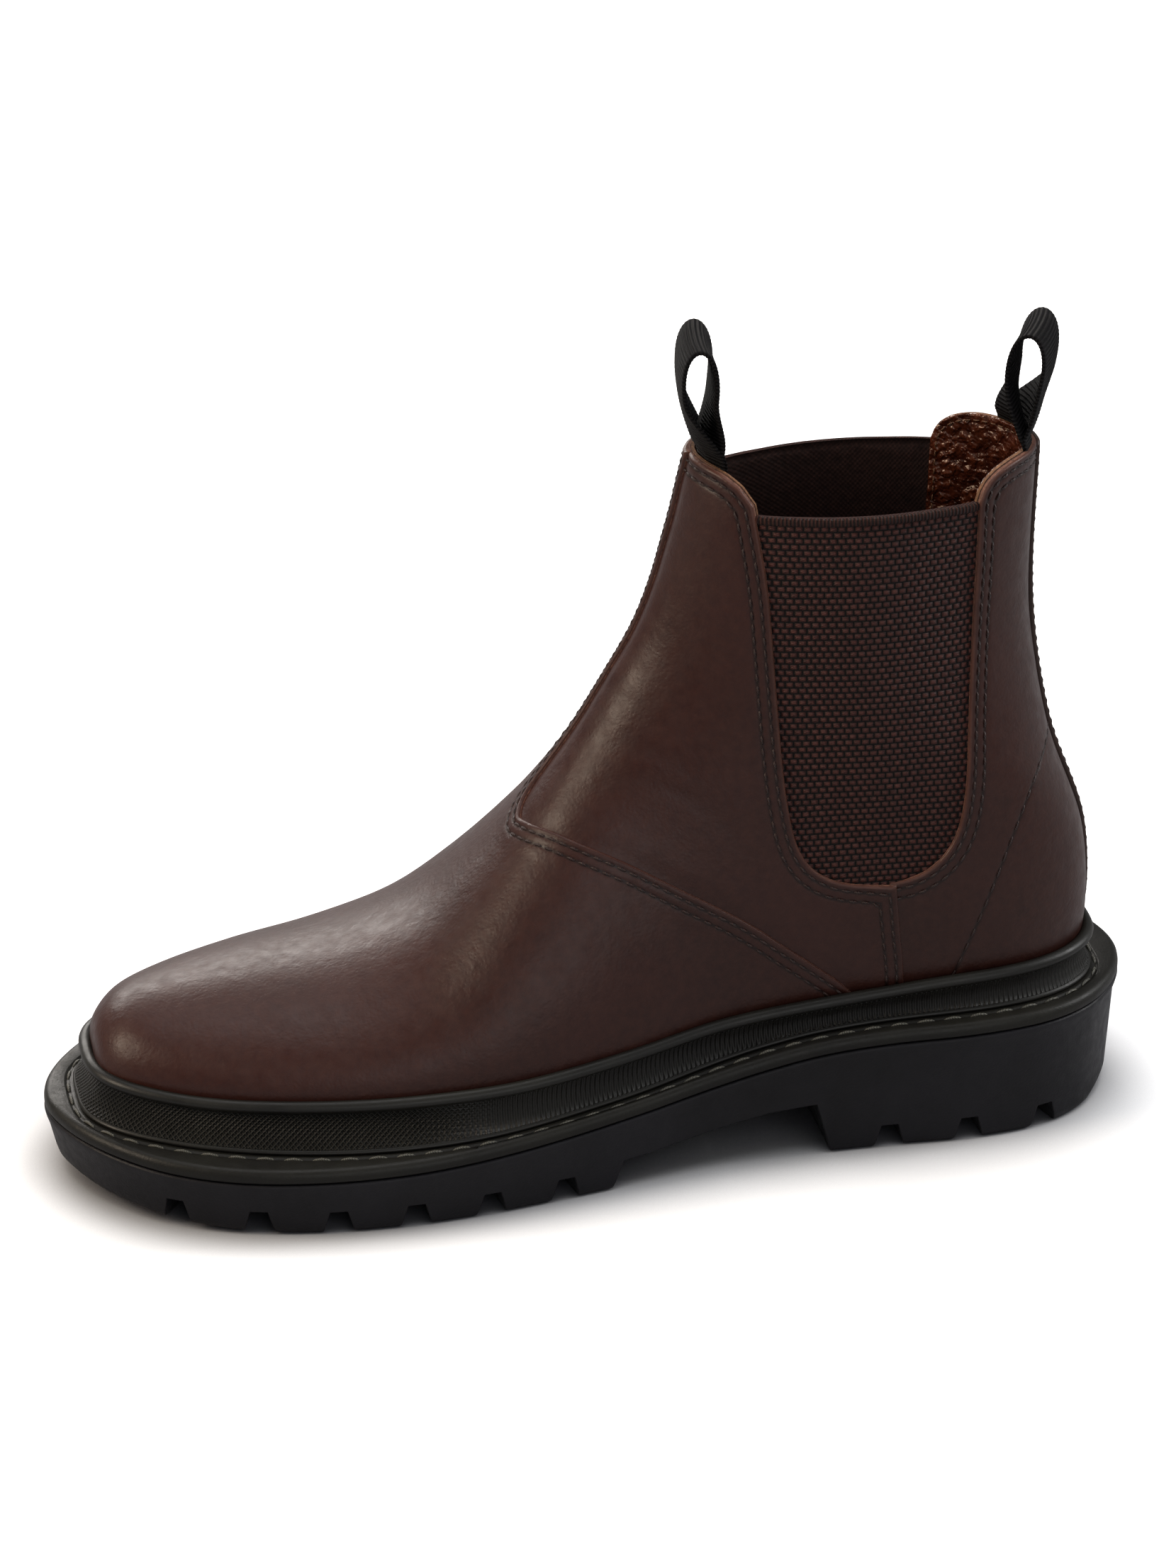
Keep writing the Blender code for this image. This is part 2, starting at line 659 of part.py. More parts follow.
def shank():
    low, high = SHANK_HEIGHT
    return long_slab("shank", lambda a: ledge(a) + low, lambda a: ledge(a) + high, SHANK_A, SHANK_HALF_WIDTH)


def rand():
    """Rubber strip with a beaded lip, swept round the upper above the ledge and fitted to the leather."""
    loop = upper_loop(RAND_LEVEL)
    normal = outward(loop)
    base, top = ledge(loop[:, 0]), height_along(RAND_TOP, loop[:, 0])
    rings = []
    for level, profile in ((base, RAND_FOOT), (top, RAND_LIP)):
        rings += [np.column_stack([loop + normal * n, level + z]) for n, z in profile]
    faces = tube_faces(len(rings), len(loop), closed=True)
    piece = new_object("rand", np.vstack(rings), faces)
    combine(piece, [solid_volume("fit", -GAP)], "DIFFERENCE")
    return keep_largest(piece, "rand")


def welt_thread():
    """The lock stitch that runs round the welt, as one line of thread."""
    loop = upper_loop(RAND_LEVEL)
    centre = loop + outward(loop) * THREAD_OFFSET
    normal = outward(centre)
    height = ledge(centre[:, 0]) + THREAD_RADIUS + GAP
    rings = []
    for k in range(6):
        angle = math.pi / 3 * k
        side, lift = THREAD_RADIUS * math.cos(angle), THREAD_RADIUS * math.sin(angle)
        rings.append(np.column_stack([centre + normal * side, height + lift]))
    return new_object("welt_thread", np.vstack(rings), tube_faces(6, len(centre), closed=True))


def parting(a):
    return ledge(a) - WELT_THICKNESS


def midsole():
    """Welt and midsole slab with rounded edges."""
    steps = [(0.9, parting, 0.0), (0.0, parting, 0.9), (0.0, ledge, -1.9), (0.55, ledge, -0.6), (1.9, ledge, 0.0)]
    return loft("midsole", [ring(sole_loop(d), lambda a, f=f, up=up: f(a) + up) for d, f, up in steps])


def outsole():
    """Heel block, arch and lugged tread moulded in one piece."""
    steps = [
        (SIDE_TAPER + 1.3, sole_bottom, 0.0), (SIDE_TAPER, sole_bottom, 1.4), (0.7, parting, -4.0),
        (0.0, parting, -1.2 - GAP), (0.9, parting, -GAP),
    ]
    piece = loft("outsole", [ring(sole_loop(d), lambda a, f=f, up=up: f(a) + up) for d, f, up in steps])
    combine(piece, [side_prism("arch", ARCH_GAP, -95, 95), side_notches(), centre_grooves()], "DIFFERENCE")
    return piece


def notch_prism(centre, inward, along, widths, reach, low, high):
    """Trapezoidal channel: eight corners, wide at the floor and narrow at its roof."""
    corners = []
    for distance in reach:
        for side, z in ((-widths[0], low), (widths[0], low), (widths[1], high), (-widths[1], high)):
            p = centre + inward * distance + along * side / 2
            corners.append((p[0], p[1], z))
    faces = [(0, 1, 2, 3), (7, 6, 5, 4), (0, 4, 5, 1), (1, 5, 6, 2), (2, 6, 7, 3), (3, 7, 4, 0)]
    return corners, faces


def joined(name, prisms):
    points, faces = [], []
    for corners, quads in prisms:
        faces += [tuple(len(points) + i for i in quad) for quad in quads]
        points += corners
    return new_object(name, points, faces)


def side_notches():
    loop = sole_loop(SIDE_TAPER)
    normal = outward(loop)
    half = len(loop) // 2
    prisms = []
    stations = [NOTCH_FIRST_A - NOTCH_PITCH * i for i in range(NOTCH_COUNT)] + list(HEEL_NOTCH_A)
    for side in (range(1, half), range(half + 1, len(loop))):
        for a in stations:
            k = min(side, key=lambda i: abs(loop[i, 0] - a))
            inward = -normal[k]
            along = np.array([-inward[1], inward[0]])
            centre = np.array([a, loop[k, 1] + (a - loop[k, 0]) * along[1] / (along[0] if abs(along[0]) > 0.2 else 1)])
            roof = float(sole_bottom(np.array([a]))[0]) + NOTCH_HEIGHT
            widths = (NOTCH_WIDTH[0] + 2.4, NOTCH_WIDTH[1])
            prisms.append(notch_prism(centre, inward, along, widths, NOTCH_REACH, -3.0, roof))
    return joined("notches", prisms)


def centre_grooves():
    prisms = []
    for i in range(NOTCH_COUNT - 1):
        a = NOTCH_FIRST_A - NOTCH_PITCH * (i + 0.5)
        roof = float(sole_bottom(np.array([a]))[0]) + CENTRE_GROOVE[2]
        reach = (-CENTRE_GROOVE_HALF, CENTRE_GROOVE_HALF)
        args = (np.array([a, -2.0]), np.array([0.0, 1.0]), np.array([1.0, 0.0]), CENTRE_GROOVE[:2], reach, -3.0, roof)
        prisms.append(notch_prism(*args))
    return joined("grooves", prisms)


# ---------------------------------------------------------------- pull loops
def pull_loop(name, axis, lean):
    """Tape folded into a drop; its origin is on the hinge axis across the boot."""
    count = 20
    half = TAPE_THICKNESS / 2
    start = np.linspace(0.30, 2 * math.pi - 0.30, count)
    hole = np.linspace(0.95, 2 * math.pi - 0.95, count)

    def drop(angle):
        x = LOOP_SPREAD * np.sin(angle) * np.sin(angle / 2)
        return np.column_stack([x, LOOP_HEIGHT * (1 - np.cos(angle)) / 2])

    def normals(angle):
        step = drop(angle + 1e-4) - drop(angle - 1e-4)
        normal = np.column_stack([step[:, 1], -step[:, 0]])
        return normal / np.linalg.norm(normal, axis=1)[:, None]

    outer = drop(start) + normals(start) * half
    outer[0], outer[-1] = (TAPE_THICKNESS, -LOOP_FOOT_DROP), (-TAPE_THICKNESS, -LOOP_FOOT_DROP)
    inner = drop(hole) - normals(hole) * half
    turn = math.radians(lean)
    points = []
    for m in (-TAPE_WIDTH / 2, TAPE_WIDTH / 2):
        for outline in (outer, inner):
            for x, z in outline:
                a = axis[0] + x * math.cos(turn) + z * math.sin(turn)
                points.append((a, m, axis[1] - x * math.sin(turn) + z * math.cos(turn)))
    faces = []
    for i in range(count):
        n = (i + 1) % count
        near_out, near_in, far_out, far_in = 0, count, 2 * count, 3 * count
        faces.append((near_out + i, near_out + n, near_in + n, near_in + i))
        faces.append((far_out + n, far_out + i, far_in + i, far_in + n))
        faces.append((near_out + n, near_out + i, far_out + i, far_out + n))
        faces.append((near_in + i, near_in + n, far_in + n, far_in + i))
    obj = new_object(name, points, faces)
    origin = to_world([(axis[0], 0.0, axis[1])])[0]
    for vert in obj.data.vertices:
        vert.co = [vert.co[k] - origin[k] for k in range(3)]
    obj.location = origin
    return obj


# ---------------------------------------------------------------- materials
COLOURS = {
    "vamp": ((0.045, 0.020, 0.016), 0.42),
    "medial_quarter": ((0.045, 0.020, 0.016), 0.42),
    "heel_quarter_medial": ((0.045, 0.020, 0.016), 0.42),
    "heel_quarter_lateral": ((0.045, 0.020, 0.016), 0.42),
    "back_strip": ((0.030, 0.014, 0.012), 0.5),
    "gore_medial": ((0.035, 0.014, 0.012), 0.9),
    "gore_lateral": ((0.035, 0.014, 0.012), 0.9),
    "toe_puff": ((0.55, 0.47, 0.36), 0.8),
    "heel_counter": ((0.55, 0.47, 0.36), 0.8),
    "foot_lining": ((0.030, 0.020, 0.017), 0.95),
    "rear_collar_lining": ((0.095, 0.034, 0.017), 0.35),
    "front_collar_lining": ((0.095, 0.034, 0.017), 0.35),
    "insole_board": ((0.45, 0.33, 0.20), 0.9),
    "footbed": ((0.060, 0.030, 0.020), 0.6),
    "bottom_filler": ((0.36, 0.24, 0.13), 0.95),
    "shank": ((0.50, 0.50, 0.52), 0.35),
    "rand": ((0.016, 0.015, 0.013), 0.45),
    "welt_thread": ((0.050, 0.048, 0.042), 0.7),
    "midsole": ((0.017, 0.016, 0.014), 0.5),
    "outsole": ((0.016, 0.016, 0.017), 0.55),
    "front_pull_loop": ((0.010, 0.009, 0.010), 0.85),
    "rear_pull_loop": ((0.010, 0.009, 0.010), 0.85),
}


def give_material(obj):
    colour, roughness = COLOURS[obj.name]
    material = bpy.data.materials.new(obj.name)
    material.use_nodes = True
    shader = material.node_tree.nodes["Principled BSDF"]
    shader.inputs["Base Color"].default_value = (*colour, 1.0)
    shader.inputs["Roughness"].default_value = roughness
    if obj.name == "shank":
        shader.inputs["Metallic"].default_value = 1.0
    obj.data.materials.clear()
    obj.data.materials.append(material)


def main():
    for obj in list(bpy.data.objects):
        bpy.data.objects.remove(obj)
    leather_panels()
    gore("gore_medial", 1)
    gore("gore_lateral", -1)
    toe_puff()
    heel_counter()
    linings()
    back_strip()
    insole_board()
    footbed()
    bottom_filler()
    shank()
    rand()
    welt_thread()
    midsole()
    outsole()
    pull_loop("front_pull_loop", FRONT_LOOP_AXIS, FRONT_LOOP_LEAN)
    pull_loop("rear_pull_loop", REAR_LOOP_AXIS, REAR_LOOP_LEAN)
    for obj in bpy.data.objects:
        obj.data.name = obj.name
        give_material(obj)


main()
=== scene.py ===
"""Chelsea boot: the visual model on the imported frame.

Boot coordinates: a runs from the back of the heel to the toe, m towards the inner side of the foot and
z up, in mm.
"""

import math

import bmesh
import bpy
import numpy as np
from mathutils import Matrix, Vector


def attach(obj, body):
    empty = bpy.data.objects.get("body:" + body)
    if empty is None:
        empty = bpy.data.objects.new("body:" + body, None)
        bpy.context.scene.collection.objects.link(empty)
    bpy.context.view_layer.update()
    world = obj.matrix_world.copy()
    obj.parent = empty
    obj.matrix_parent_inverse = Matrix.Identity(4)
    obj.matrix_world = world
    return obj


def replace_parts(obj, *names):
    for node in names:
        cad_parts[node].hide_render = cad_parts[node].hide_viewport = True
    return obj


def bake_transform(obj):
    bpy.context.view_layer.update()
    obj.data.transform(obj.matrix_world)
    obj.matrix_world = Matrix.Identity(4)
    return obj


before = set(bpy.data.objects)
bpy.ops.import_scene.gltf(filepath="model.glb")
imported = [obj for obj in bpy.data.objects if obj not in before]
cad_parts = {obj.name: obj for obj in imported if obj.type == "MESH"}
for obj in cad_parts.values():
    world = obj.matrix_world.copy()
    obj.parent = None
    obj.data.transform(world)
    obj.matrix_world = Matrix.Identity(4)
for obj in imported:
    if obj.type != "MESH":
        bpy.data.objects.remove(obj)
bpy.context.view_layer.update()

SOLE_LENGTH = 293.0
SOLE_CENTRE_M = -1.3

# ---------------------------------------------------------------- driving shapes, as in the CAD
OUTLINE_INNER = [
    (0.0, 0), (2.0, 11), (7.5, 21.5), (16.5, 31.5), (30, 38.5), (50, 41.5), (72, 41.3), (95, 41.8),
    (118, 44), (140, 48.4), (162, 53.3), (184, 57.4), (206, 59.4), (228, 58.5), (249, 54.3), (267, 46),
    (281, 33), (290.0, 18), (293, 5),
]
OUTLINE_OUTER = [
    (0.0, 0), (1.8, -11), (6.5, -22), (15.5, -33), (30, -40.5), (50, -44.5), (72, -46), (95, -46.5),
    (118, -48.5), (140, -53.5), (162, -59), (184, -62), (206, -61.5), (228, -57.5), (249, -50),
    (266, -39.5), (279.5, -26), (289.3, -10), (293, 5),
]
LEDGE = [
    (0, 33.5), (40, 33), (72, 31.2), (105, 28.3), (140, 23.5), (174, 21), (206, 20.3), (250, 20.8),
    (295, 23.5),
]
RAND_TOP = [
    (0, 51), (50, 50), (73, 48.4), (95, 46.6), (118, 44.4), (141, 41.6), (175, 38.8), (206, 37), (237, 36.2),
    (257, 36.4), (283, 38.5),
]
# Height over the ledge at which the upper's outline is taken.
RAND_LEVEL = 10.0
# Slices of the upper: front a, front z, rear a, rear z, inner half width, outer half width, where it is
# widest (0 front .. 1 rear), squareness of the rear half, squareness of the front half, offset of the
# ridge inwards.
UPPER_ROWS = [
    (279.5, 31.0, 279.5, 25.5, 8.5, -5.5, 0.50, 2.0, 2.0, 7.0),
    (280.0, 36.7, 279.0, 24.0, 15.5, 3.0, 0.52, 2.3, 2.0, 6.5),
    (278.3, 43.2, 276.5, 23.3, 21.5, 8.5, 0.56, 2.8, 2.0, 6.5),
    (271.0, 49.0, 270.0, 22.6, 28.0, 17.0, 0.58, 3.2, 2.0, 6.0),
    (257.0, 51.6, 257.0, 21.8, 35.0, 29.0, 0.60, 3.6, 1.9, 6.0),
    (237.8, 54.0, 238.0, 21.2, 41.5, 39.5, 0.62, 4.0, 1.87, 6.0),
    (215.0, 56.8, 216.0, 20.9, 46.3, 46.5, 0.62, 4.0, 1.85, 6.0),
    (194.5, 64.6, 194.0, 21.0, 48.5, 49.5, 0.66, 4.0, 1.85, 6.0),
    (178.3, 78.0, 172.0, 21.7, 48.5, 50.5, 0.70, 4.0, 1.87, 6.0),
    (164.0, 93.4, 145.0, 23.5, 43.5, 47.5, 0.72, 4.0, 1.9, 4.0),
    (151.2, 110.0, 110.0, 28.3, 35.5, 41.0, 0.72, 4.0, 1.95, 2.0),
    (142.1, 124.4, 70.0, 32.0, 34.0, 38.5, 0.68, 4.2, 2.0, 0.5),
    (133.7, 138.8, 33.0, 33.7, 34.5, 38.5, 0.60, 4.0, 2.0, 0.0),
    (128.8, 151.8, 13.0, 42.0, 34.5, 38.0, 0.53, 2.9, 2.0, 0.0),
    (126.0, 162.5, 11.6, 74.0, 33.5, 36.0, 0.50, 2.4, 2.0, 0.0),
    (124.0, 170.6, 22.5, 106.0, 32.2, 33.0, 0.50, 2.15, 2.0, 0.0),
    (122.2, 178.5, 28.2, 142.0, 31.0, 31.0, 0.50, 2.0, 2.0, 0.0),
    (120.3, 187.1, 27.6, 184.0, 30.0, 30.0, 0.50, 2.0, 2.0, 0.0),
    (118.5, 202.0, 27.0, 200.0, 30.0, 30.0, 0.50, 2.0, 2.0, 0.0),
]
ROWS_PER_STEP = 12
SLICE_POINTS = 176
GRID_PASSES = 6

# Panel edges in side view (a, z), and the shin seam as (z, m).
GORE_EDGE_LINE = [
    (107.6, 179.5), (104.4, 158), (102.6, 135), (100.8, 111.5), (99.2, 98), (96.6, 87), (91.6, 80),
    (83.5, 76.3), (72, 75.4), (62.4, 78.4), (55.5, 85.5), (52.2, 97), (50.8, 117), (49.5, 140),
    (48.5, 159.5), (48, 178),
]
EAR_FRONT = [(126, 188), (121, 187.6), (115, 186.3), (110.8, 183.8)]
EAR_REAR = [(46.2, 181.5), (42.5, 184), (37, 185.4), (30, 185.4), (16, 185)]
# The outer gore reaches lower than the inner one.
OUTER_GORE_DROP = 4.0
GORE_TOP_Z = 177.0
INNER_SEAM = [
    (176, 88.6), (168, 89.8), (164.8, 91.5), (157, 91.6), (142.4, 86.1), (127, 77.6), (111, 68.1),
    (99.7, 59.4), (89.7, 51.6), (82.9, 45.5), (77, 37), (73, 27), (71.5, 15),
]
SHIN_SEAM = [
    (80, 1.2), (89, 1.0), (94.2, -0.8), (103.9, -1.9), (127.6, -2.3), (141.6, -2.1), (156.9, -1.3),
    (170, -0.2), (200, 0.8),
]
SIDE_SEAM = [(70.8, 84), (70.6, 76), (69.2, 61), (67.6, 46), (67, 15)]
COUNTER_LINE = [
    (13, 108.5), (20, 106.5), (26.3, 103.6), (32, 97.5), (36.5, 89.5), (42, 77), (47.5, 63.5), (52.8, 50),
    (56, 39), (58, 15),
]
REAR_COLLAR = [(10, 147), (30, 147), (42, 147.5), (50, 150), (58, 158)]
FRONT_COLLAR_Z = 160.0
BACK_STRIP_HALF_WIDTH = 4.5

# Thread rows as distances from the panel edge beside them, and the height over the ledge where threads begin.
ROWS = (2.0, 4.7)
STITCH = 2.6
STITCH_GAP = 0.75
THREADS_FROM = 8.0
STRIP_THREADS_FROM = 10.0
STRIP_ROW = 1.3
MIN_CHAIN = 8

# Leather: its flesh side under the lasting surface, the radius of a cut edge, and the refined distances
# beside it.
FLESH_DEPTH = -1.6
CUT_RADIUS = 0.75
EDGE_LEVELS = (0.1, 0.3, 0.75, 1.3, 2.0, 2.7, 4.0, 4.7, 5.4)
COUNTER_LEVELS = (-0.9, -0.4, 0.0, 0.4, 0.9)
COUNTER_DENT = 0.2
UPPER_FOOT = 3.5
UPPER_CEILING = 196.0
VAMP_UNDERLAP = 1.5
GORE_UNDERLAP = 6.5


def hermite(values, t):
    values = np.asarray(values, float)
    last = len(values) - 1
    i = np.clip(np.floor(t).astype(int), 0, last - 1)
    s = (t - i)[:, None]
    step = np.diff(values, axis=0)
    slope = np.vstack([step[:1], (step[1:] + step[:-1]) / 2, step[-1:]])
    start = (2 * s**3 - 3 * s**2 + 1) * values[i] + (s**3 - 2 * s**2 + s) * slope[i]
    end = (3 * s**2 - 2 * s**3) * values[i + 1] + (s**3 - s**2) * slope[i + 1]
    return start + end


def smooth_line(points, steps=6):
    return hermite(points, np.linspace(0, len(points) - 1, steps * (len(points) - 1) + 1))


def height_along(table, a):
    fine = hermite(table, np.linspace(0, len(table) - 1, 12 * len(table)))
    return np.interp(a, fine[:, 0], fine[:, 1])


def to_world(p):
    p = np.asarray(p, float)
    return np.column_stack([p[:, 1] - SOLE_CENTRE_M, SOLE_LENGTH / 2 - p[:, 0], p[:, 2]]) * 0.001


def unit(v):
    return v / np.maximum(np.linalg.norm(v, axis=-1, keepdims=True), 1e-12)


def smooth_step(x, low, high):
    t = np.clip((x - low) / (high - low), 0, 1)
    return t * t * (3 - 2 * t)


def wave_noise(p, scale, seed, octaves=3):
    """Smooth, repeatable noise from -1 to 1, as sums of sines in turned directions."""
    rng = np.random.default_rng(seed)
    total = np.zeros(len(p))
    weight = 0.0
    for octave in range(octaves):
        amount = 0.55**octave
        for _ in range(4):
            direction = unit(rng.normal(size=3)[None])[0]
            phase = rng.uniform(0, 2 * math.pi)
            rate = 2 * math.pi / (scale / 1.9**octave) * rng.uniform(0.75, 1.3)
            total += amount * np.sin(p @ direction * rate + phase)
            weight += amount
    return total / weight * 1.8


# ---------------------------------------------------------------- meshes with fields
# A patch is a dict: "p" points, "n" outward normals, "t" triangles, and any number of per-point fields.
def upper_grid(rows_per_step, slice_points):
    count = (len(UPPER_ROWS) - 1) * rows_per_step + 1
    row = hermite(UPPER_ROWS, np.linspace(0, len(UPPER_ROWS) - 1, count))
    angle = 2 * np.pi * np.arange(slice_points) / slice_points
    cos, sin = np.cos(angle)[None], np.sin(angle)[None]
    front = cos >= 0
    power = 2 / np.where(front, row[:, 8:9], row[:, 7:8])
    widest, ridge = row[:, 6:7], row[:, 9:10]
    reach = np.abs(cos) ** power
    along = np.where(front, widest * (1 - reach), widest + (1 - widest) * reach)
    spread = np.abs(sin) ** power
    m = np.where(sin >= 0, ridge + (row[:, 4:5] - ridge) * spread, ridge - (row[:, 5:6] + ridge) * spread)
    a = row[:, 0:1] + (row[:, 2:3] - row[:, 0:1]) * along
    z = row[:, 1:2] + (row[:, 3:4] - row[:, 1:2]) * along
    return np.stack([a, m, z], -1)


def relax(grid, passes):
    """Evens out the slices' small bumps; the first and the last slice stay."""
    for _ in range(passes):
        round_slice = (np.roll(grid, 1, 1) + np.roll(grid, -1, 1)) / 2
        along = grid.copy()
        along[1:-1] = (grid[2:] + grid[:-2]) / 2
        grid = 0.5 * grid + 0.25 * round_slice + 0.25 * along
    return grid


def grid_normals(grid):
    across = np.roll(grid, -1, 1) - np.roll(grid, 1, 1)
    along = np.gradient(grid, axis=0)
    normal = np.cross(across, along)
    normal *= np.sign(((grid - grid.mean(axis=1, keepdims=True)) * normal).sum())
    normal = unit(normal)
    for _ in range(3):
        normal = unit(normal + 0.5 * (np.roll(normal, 1, 1) + np.roll(normal, -1, 1)))
    normal[0] = (1.0, 0.0, 0.0)
    return normal


def base_patch():
    grid = relax(upper_grid(ROWS_PER_STEP, SLICE_POINTS), GRID_PASSES)
    rings, count = grid.shape[:2]
    i, j = np.meshgrid(np.arange(rings - 1), np.arange(count), indexing="ij")
    k = (j + 1) % count
    a, b, c, d = i * count + j, i * count + k, (i + 1) * count + k, (i + 1) * count + j
    tris = np.concatenate([np.stack([a, b, c], -1).reshape(-1, 3), np.stack([a, c, d], -1).reshape(-1, 3)])
    points, normals = grid.reshape(-1, 3), grid_normals(grid).reshape(-1, 3)
    face = np.cross(points[tris[:, 1]] - points[tris[:, 0]], points[tris[:, 2]] - points[tris[:, 0]])
    flip = (face * normals[tris].mean(1)).sum(1) < 0
    tris[flip] = tris[flip][:, ::-1]
    return {"p": points, "n": normals, "t": tris}


def compact(patch):
    used = np.unique(patch["t"])
    remap = np.full(len(patch["p"]), -1)
    remap[used] = np.arange(len(used))
    out = {key: value[used] for key, value in patch.items() if key != "t"}
    out["t"] = remap[patch["t"]]
    return out


def off_zero(values, margin):
    return np.where(np.abs(values) < margin, margin, values)


def crossings(patch, v):
    """Where a field changes sign.

    Gives which triangles are cut, their corners with the odd one first, a reader for fields on the cut
    edges, their number, and the two cut edges of each triangle.
    """
    t = patch["t"]
    positive = v[t] > 0
    count = positive.sum(1)
    crossed = (count == 1) | (count == 2)
    if not crossed.any():
        return None
    above = positive[crossed]
    odd = np.where(above.sum(1) == 1, above.argmax(1), (~above).argmax(1))
    r = np.take_along_axis(t[crossed], (odd[:, None] + np.arange(3)) % 3, 1)
    key = np.sort(np.concatenate([r[:, [0, 1]], r[:, [0, 2]]]), 1)
    unique, index = np.unique(key, axis=0, return_inverse=True)
    index = index.reshape(-1)
    first, second = unique.T
    share = v[first] / (v[first] - v[second])

    def read(field):
        w = share if field.ndim == 1 else share[:, None]
        return field[first] * (1 - w) + field[second] * w

    return crossed, r, read, len(unique), index[: len(r)], index[len(r):]


def split(patch, values, level=0.0):
    """Adds points where a field crosses a level, so that the level becomes a chain of edges."""
    v = off_zero(values - level, 1e-4)
    cut_up = crossings(patch, v)
    if cut_up is None:
        return patch, v
    crossed, r, read, count, ab, ac = cut_up
    base = len(patch["p"])
    corners = (
        (r[:, 0], base + ab, base + ac),
        (base + ab, r[:, 1], r[:, 2]),
        (base + ab, r[:, 2], base + ac),
    )
    out = {"t": np.concatenate([patch["t"][~crossed]] + [np.column_stack(c) for c in corners])}
    for name, field in patch.items():
        if name != "t":
            out[name] = np.concatenate([field, read(field)])
    out["n"] = unit(out["n"])
    return out, np.concatenate([v, np.zeros(count)])


def clip(patch, name, level=0.0, sign=1.0):
    """Keeps the part of a patch where a field is over a level (or under it, for sign -1)."""
    out, v = split(patch, patch[name] * sign, level * sign)
    keep = v[out["t"]].sum(1) > 0
    out["t"] = out["t"][keep]
    return compact(out)


def refine(patch, name, levels):
    for level in levels:
        patch, _ = split(patch, patch[name], level)
    return patch


def level_chains(patch, values, level=0.0, carry=()):
    """Polylines where a field crosses a level, each with its points, normals and carried fields."""
    cut_up = crossings(patch, off_zero(values - level, 1e-5))
    if cut_up is None:
        return []
    _, _, read, _, ab, ac = cut_up
    near = {}
    for x, y in zip(ab, ac):
        near.setdefault(int(x), []).append(int(y))
        near.setdefault(int(y), []).append(int(x))
    left = set(near)
    chains = []
    while left:
        start = next((k for k in sorted(left) if sum(n in left for n in near[k]) < 2), None)
        if start is None:
            start = min(left)
        chain = [start]
        left.discard(start)
        while True:
            options = [n for n in near[chain[-1]] if n in left]
            if not options:
                break
            chain.append(options[0])
            left.discard(options[0])
        if len(chain) > 2 and len(near[start]) == 2 and chain[-1] in near[start]:
            chain.append(start)
        chains.append(chain)
    points, normals = read(patch["p"]), unit(read(patch["n"]))
    extra = [read(patch[name]) for name in carry]
    return [(points[ch], normals[ch]) + tuple(e[ch] for e in extra) for ch in chains if len(ch) > 2]


def distance_field(patch, rough, reach=16.0):
    """True distance on the surface to a rough signed field's zero line; far points keep the rough value."""
    pieces = [np.concatenate([p[:-1], p[1:]], 1) for p, _ in level_chains(patch, rough)]
    segments = np.concatenate(pieces)
    start, end = segments[:, :3], segments[:, 3:]
    step = end - start
    length = np.maximum((step**2).sum(1), 1e-9)
    out = np.where(np.abs(rough) > reach, rough, 0.0)
    near = np.nonzero(np.abs(rough) <= 1.6 * reach)[0]
    for chunk in np.array_split(near, max(1, len(near) // 1500)):
        q = patch["p"][chunk]
        w = q[:, None] - start[None]
        along = np.clip((w * step[None]).sum(-1) / length[None], 0, 1)
        gap = np.linalg.norm(w - along[..., None] * step[None], axis=-1).min(1)
        out[chunk] = np.sign(rough[chunk] + 1e-9) * np.minimum(gap, 1.6 * reach)
    return out


# ---------------------------------------------------------------- side-view fields
def segments_of(a, z, line):
    """Each segment of a side-view line, and how far every point is from it."""
    for (x0, y0), (x1, y1) in zip(line[:-1], line[1:]):
        dx, dy = x1 - x0, y1 - y0
        t = np.clip(((a - x0) * dx + (z - y0) * dy) / max(dx * dx + dy * dy, 1e-9), 0, 1)
        yield x0, y0, x1, y1, np.hypot(a - x0 - t * dx, z - y0 - t * dy)


def line_side(a, z, line):
    """Signed distance in side view to a line, positive on its left-hand side when walking along it."""
    best = np.full(len(a), np.inf)
    sign = np.ones(len(a))
    for x0, y0, x1, y1, gap in segments_of(a, z, line):
        nearer = gap < best
        best = np.where(nearer, gap, best)
        turn = (x1 - x0) * (z - y0) - (y1 - y0) * (a - x0)
        sign = np.where(nearer, np.sign(turn + 1e-12), sign)
    return best * sign


def polygon_side(a, z, polygon):
    """Signed distance in side view to a closed polygon, positive outside."""
    inside = np.zeros(len(a), bool)
    best = np.full(len(a), np.inf)
    for x0, y0, x1, y1, gap in segments_of(a, z, np.vstack([polygon, polygon[:1]])):
        best = np.minimum(best, gap)
        if y0 != y1:
            inside ^= ((y0 > z) != (y1 > z)) & (a < (x1 - x0) * (z - y0) / (y1 - y0) + x0)
    return np.where(inside, -best, best)


def gore_path(drop):
    path = smooth_line(GORE_EDGE_LINE)
    path[:, 1] -= drop * np.clip((125 - path[:, 1]) / 45, 0, 1)
    return path


def smooth_min(x, y, k):
    h = np.clip(0.5 + 0.5 * (y - x) / k, 0, 1)
    return y * (1 - h) + x * h - k * h * (1 - h)


